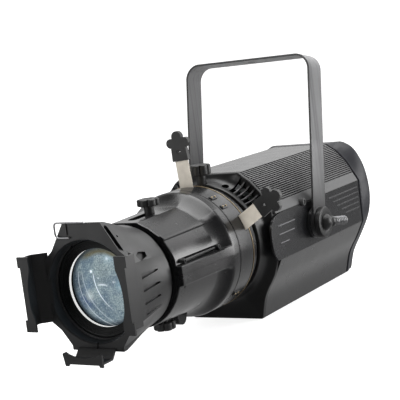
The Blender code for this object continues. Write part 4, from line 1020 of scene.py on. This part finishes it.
boss = [(6.5, 99.7), (19.0, 99.7), (19.0, 103.6), (24.5, 103.6), (24.5, 106.4), (23.6, 107.2), (23.6, 109.9),
        (6.5, 109.9)]
HUB = HALF + 1.6
lever = [(6.0, 101.4), (6.0, HUB), (23.4, HUB), (24.2, HUB + 0.8), (24.2, HUB + 7.8), (23.0, HUB + 9.0),
         (17.0, HUB + 9.2), (16.0, HUB + 8.2), (12.6, HUB + 8.2), (12.0, HUB + 12.0), (9.0, HUB + 15.8),
         (5.2, HUB + 18.4), (1.0, HUB + 19.0)]
GRIP_X, GRIP_TILT = HUB + 9.0, -8.5
grip = [(4.5, 6.0), (4.5, 24.0), (6.0, 24.6), (6.4, 25.4), (6.4, 67.6), (5.6, 68.9)]
ball = [(9.2 * math.sin(math.radians(a)) + 0.05, 17.0 - 9.2 * math.cos(math.radians(a)))
        for a in range(0, 181, 12)]
rings = [[(5.4, y), (6.9, y + 0.3), (7.3, y + 0.7), (7.3, y + 1.5), (6.9, y + 1.9), (5.4, y + 2.2)]
         for y in (27.0 + 5.8 * i for i in range(7))]
grip, ball, *rings = (pitched(turned(profile, "Y", 40, centre=(GRIP_X, 0.0, 0.0)), GRIP_TILT)
                      for profile in (grip, ball, *rings))
for side, turn in SIDES:
    body = "yoke_lock_" + side[0]
    piece(f"trunnion_{side}_boss", turn(turned(boss, "X", 64, closed=True)), "black_paint", "housing",
          [f"trunnion_{side}"], bevel=0.3)
    piece(f"yoke_lock_{side}_lever", turn(turned(lever, "X", 64)), "black_plastic", body,
          [f"yoke_lock_{side}"], joins=[turn(ball), turn(grip)], bevel=0.0, material="lever_plastic")
    piece(f"yoke_lock_{side}_grip_rings", turn(together(*rings)), "black_plastic", body, bevel=0.0,
          material="plated_steel")

# ---------------------------------------------------------------- stage, light and camera

stage = new_tree("stage_white")
shade(stage, Base_Color=(0.6, 0.6, 0.6, 1.0), Roughness=0.9, Specular_IOR_Level=0.1,
      Emission_Color=(1.0, 1.0, 1.0, 1.0), Emission_Strength=0.85)

# The view: angles in degrees, lengths in millimetres from the pivot.
VIEW_AZ, VIEW_EL, VIEW_ROLL, VIEW_AWAY, VIEW_LENS = 32.78, 7.73, -7.32, 1821.6, 105.05

# The floor, in metres: flat far out to every side, and curved up to a wall behind the object.
FLOOR_END, BEND_START, BEND_RADIUS, WALL_TOP, FLOOR_DROP = 120.0, 2.0, 1.5, 7.0, 0.0005
sweep = [(-FLOOR_END, 0.0), (BEND_START, 0.0), *arc((BEND_START, BEND_RADIUS), BEND_RADIUS, -81.0, 0.0, 9),
         (BEND_START + BEND_RADIUS, WALL_TOP)]
facing = Matrix.Rotation(math.radians(VIEW_AZ), 3, "Z")
points = [tuple(facing @ Vector((x, y, z - FLOOR_DROP))) for y, z in sweep for x in (-FLOOR_END, FLOOR_END)]
faces = [(2 * i, 2 * i + 1, 2 * i + 3, 2 * i + 2) for i in range(len(sweep) - 1)]
mesh = bpy.data.meshes.new("studio_floor")
mesh.from_pydata(points, [], faces)
mesh.shade_smooth()
mesh.materials.append(MAT["stage_white"])
floor = linked("studio_floor", mesh)
floor.visible_glossy = False


def lamp(name, place, target, size, power):
    data = bpy.data.lights.new(name, "AREA")
    data.shape = "RECTANGLE"
    data.size, data.size_y = size
    data.energy = power
    obj = linked(name, data)
    obj.location = place
    obj.rotation_euler = (Vector(target) - Vector(place)).to_track_quat("-Z", "Y").to_euler()


centre = (0.0, -0.12, 0.16)
lamp("top_box", (0.1, 0.15, 1.6), centre, (1.5, 1.1), 26.0)
lamp("right_box", (0.75, 0.30, 0.26), (0.05, -0.42, 0.12), (0.5, 0.5), 5.0)
lamp("rear_box", (0.5, 1.9, 1.45), (0.05, 0.0, 0.2), (1.6, 0.6), 5.0)
lamp("low_front", (-1.3, -2.1, 0.2), centre, (1.2, 0.8), 6.0)
lamp("front_fill", (-0.9, -2.0, 1.5), centre, (1.0, 1.0), 15.0)

# Beyond the lamps the room is dark in front, brighter behind the object, and lit from its floor there.
world = bpy.data.worlds.new("studio_world")
bpy.context.scene.world = world
world.use_nodes = True
tree = world.node_tree
split = separate(tree, add(tree, "TexCoord").outputs["Generated"])
behind = spread(tree, split["Y"], 0.0, 1.0, 0.1, 0.9)
below = spread(tree, split["Z"], 0.45, 0.0, -0.5, -0.12)
above = spread(tree, split["Z"], 0.0, 1.1, 0.0, 0.2)
rear = times(tree, behind, calc(tree, "ADD", calc(tree, "ADD", below, above), 0.20))
fill(tree, tree.nodes["Background"], Color=(1.0, 1.0, 1.0, 1.0), Strength=calc(tree, "ADD", rear, 0.10))

az, el, roll = (math.radians(v) for v in (VIEW_AZ, VIEW_EL, VIEW_ROLL))
level = Vector((math.cos(az), math.sin(az), 0.0))
back = Vector((math.sin(az) * math.cos(el), -math.cos(az) * math.cos(el), math.sin(el)))
upright = back.cross(level)
right = math.cos(roll) * level + math.sin(roll) * upright
up = math.cos(roll) * upright - math.sin(roll) * level
aim = Vector((0.0, -88.0, 0.0)) - 38.9 * level + 60.0 * upright
camera_data = bpy.data.cameras.new("camera")
camera_data.sensor_width = 36.0
camera_data.lens = VIEW_LENS
camera_data.clip_end = 30.0
camera = linked("camera", camera_data)
turn = Matrix((right, up, back)).transposed().to_4x4()
camera.matrix_world = Matrix.Translation((aim + VIEW_AWAY * back) * MM + Vector((0.0, 0.0, AXIS))) @ turn
bpy.context.scene.camera = camera
bpy.context.scene.view_settings.view_transform = "Standard"
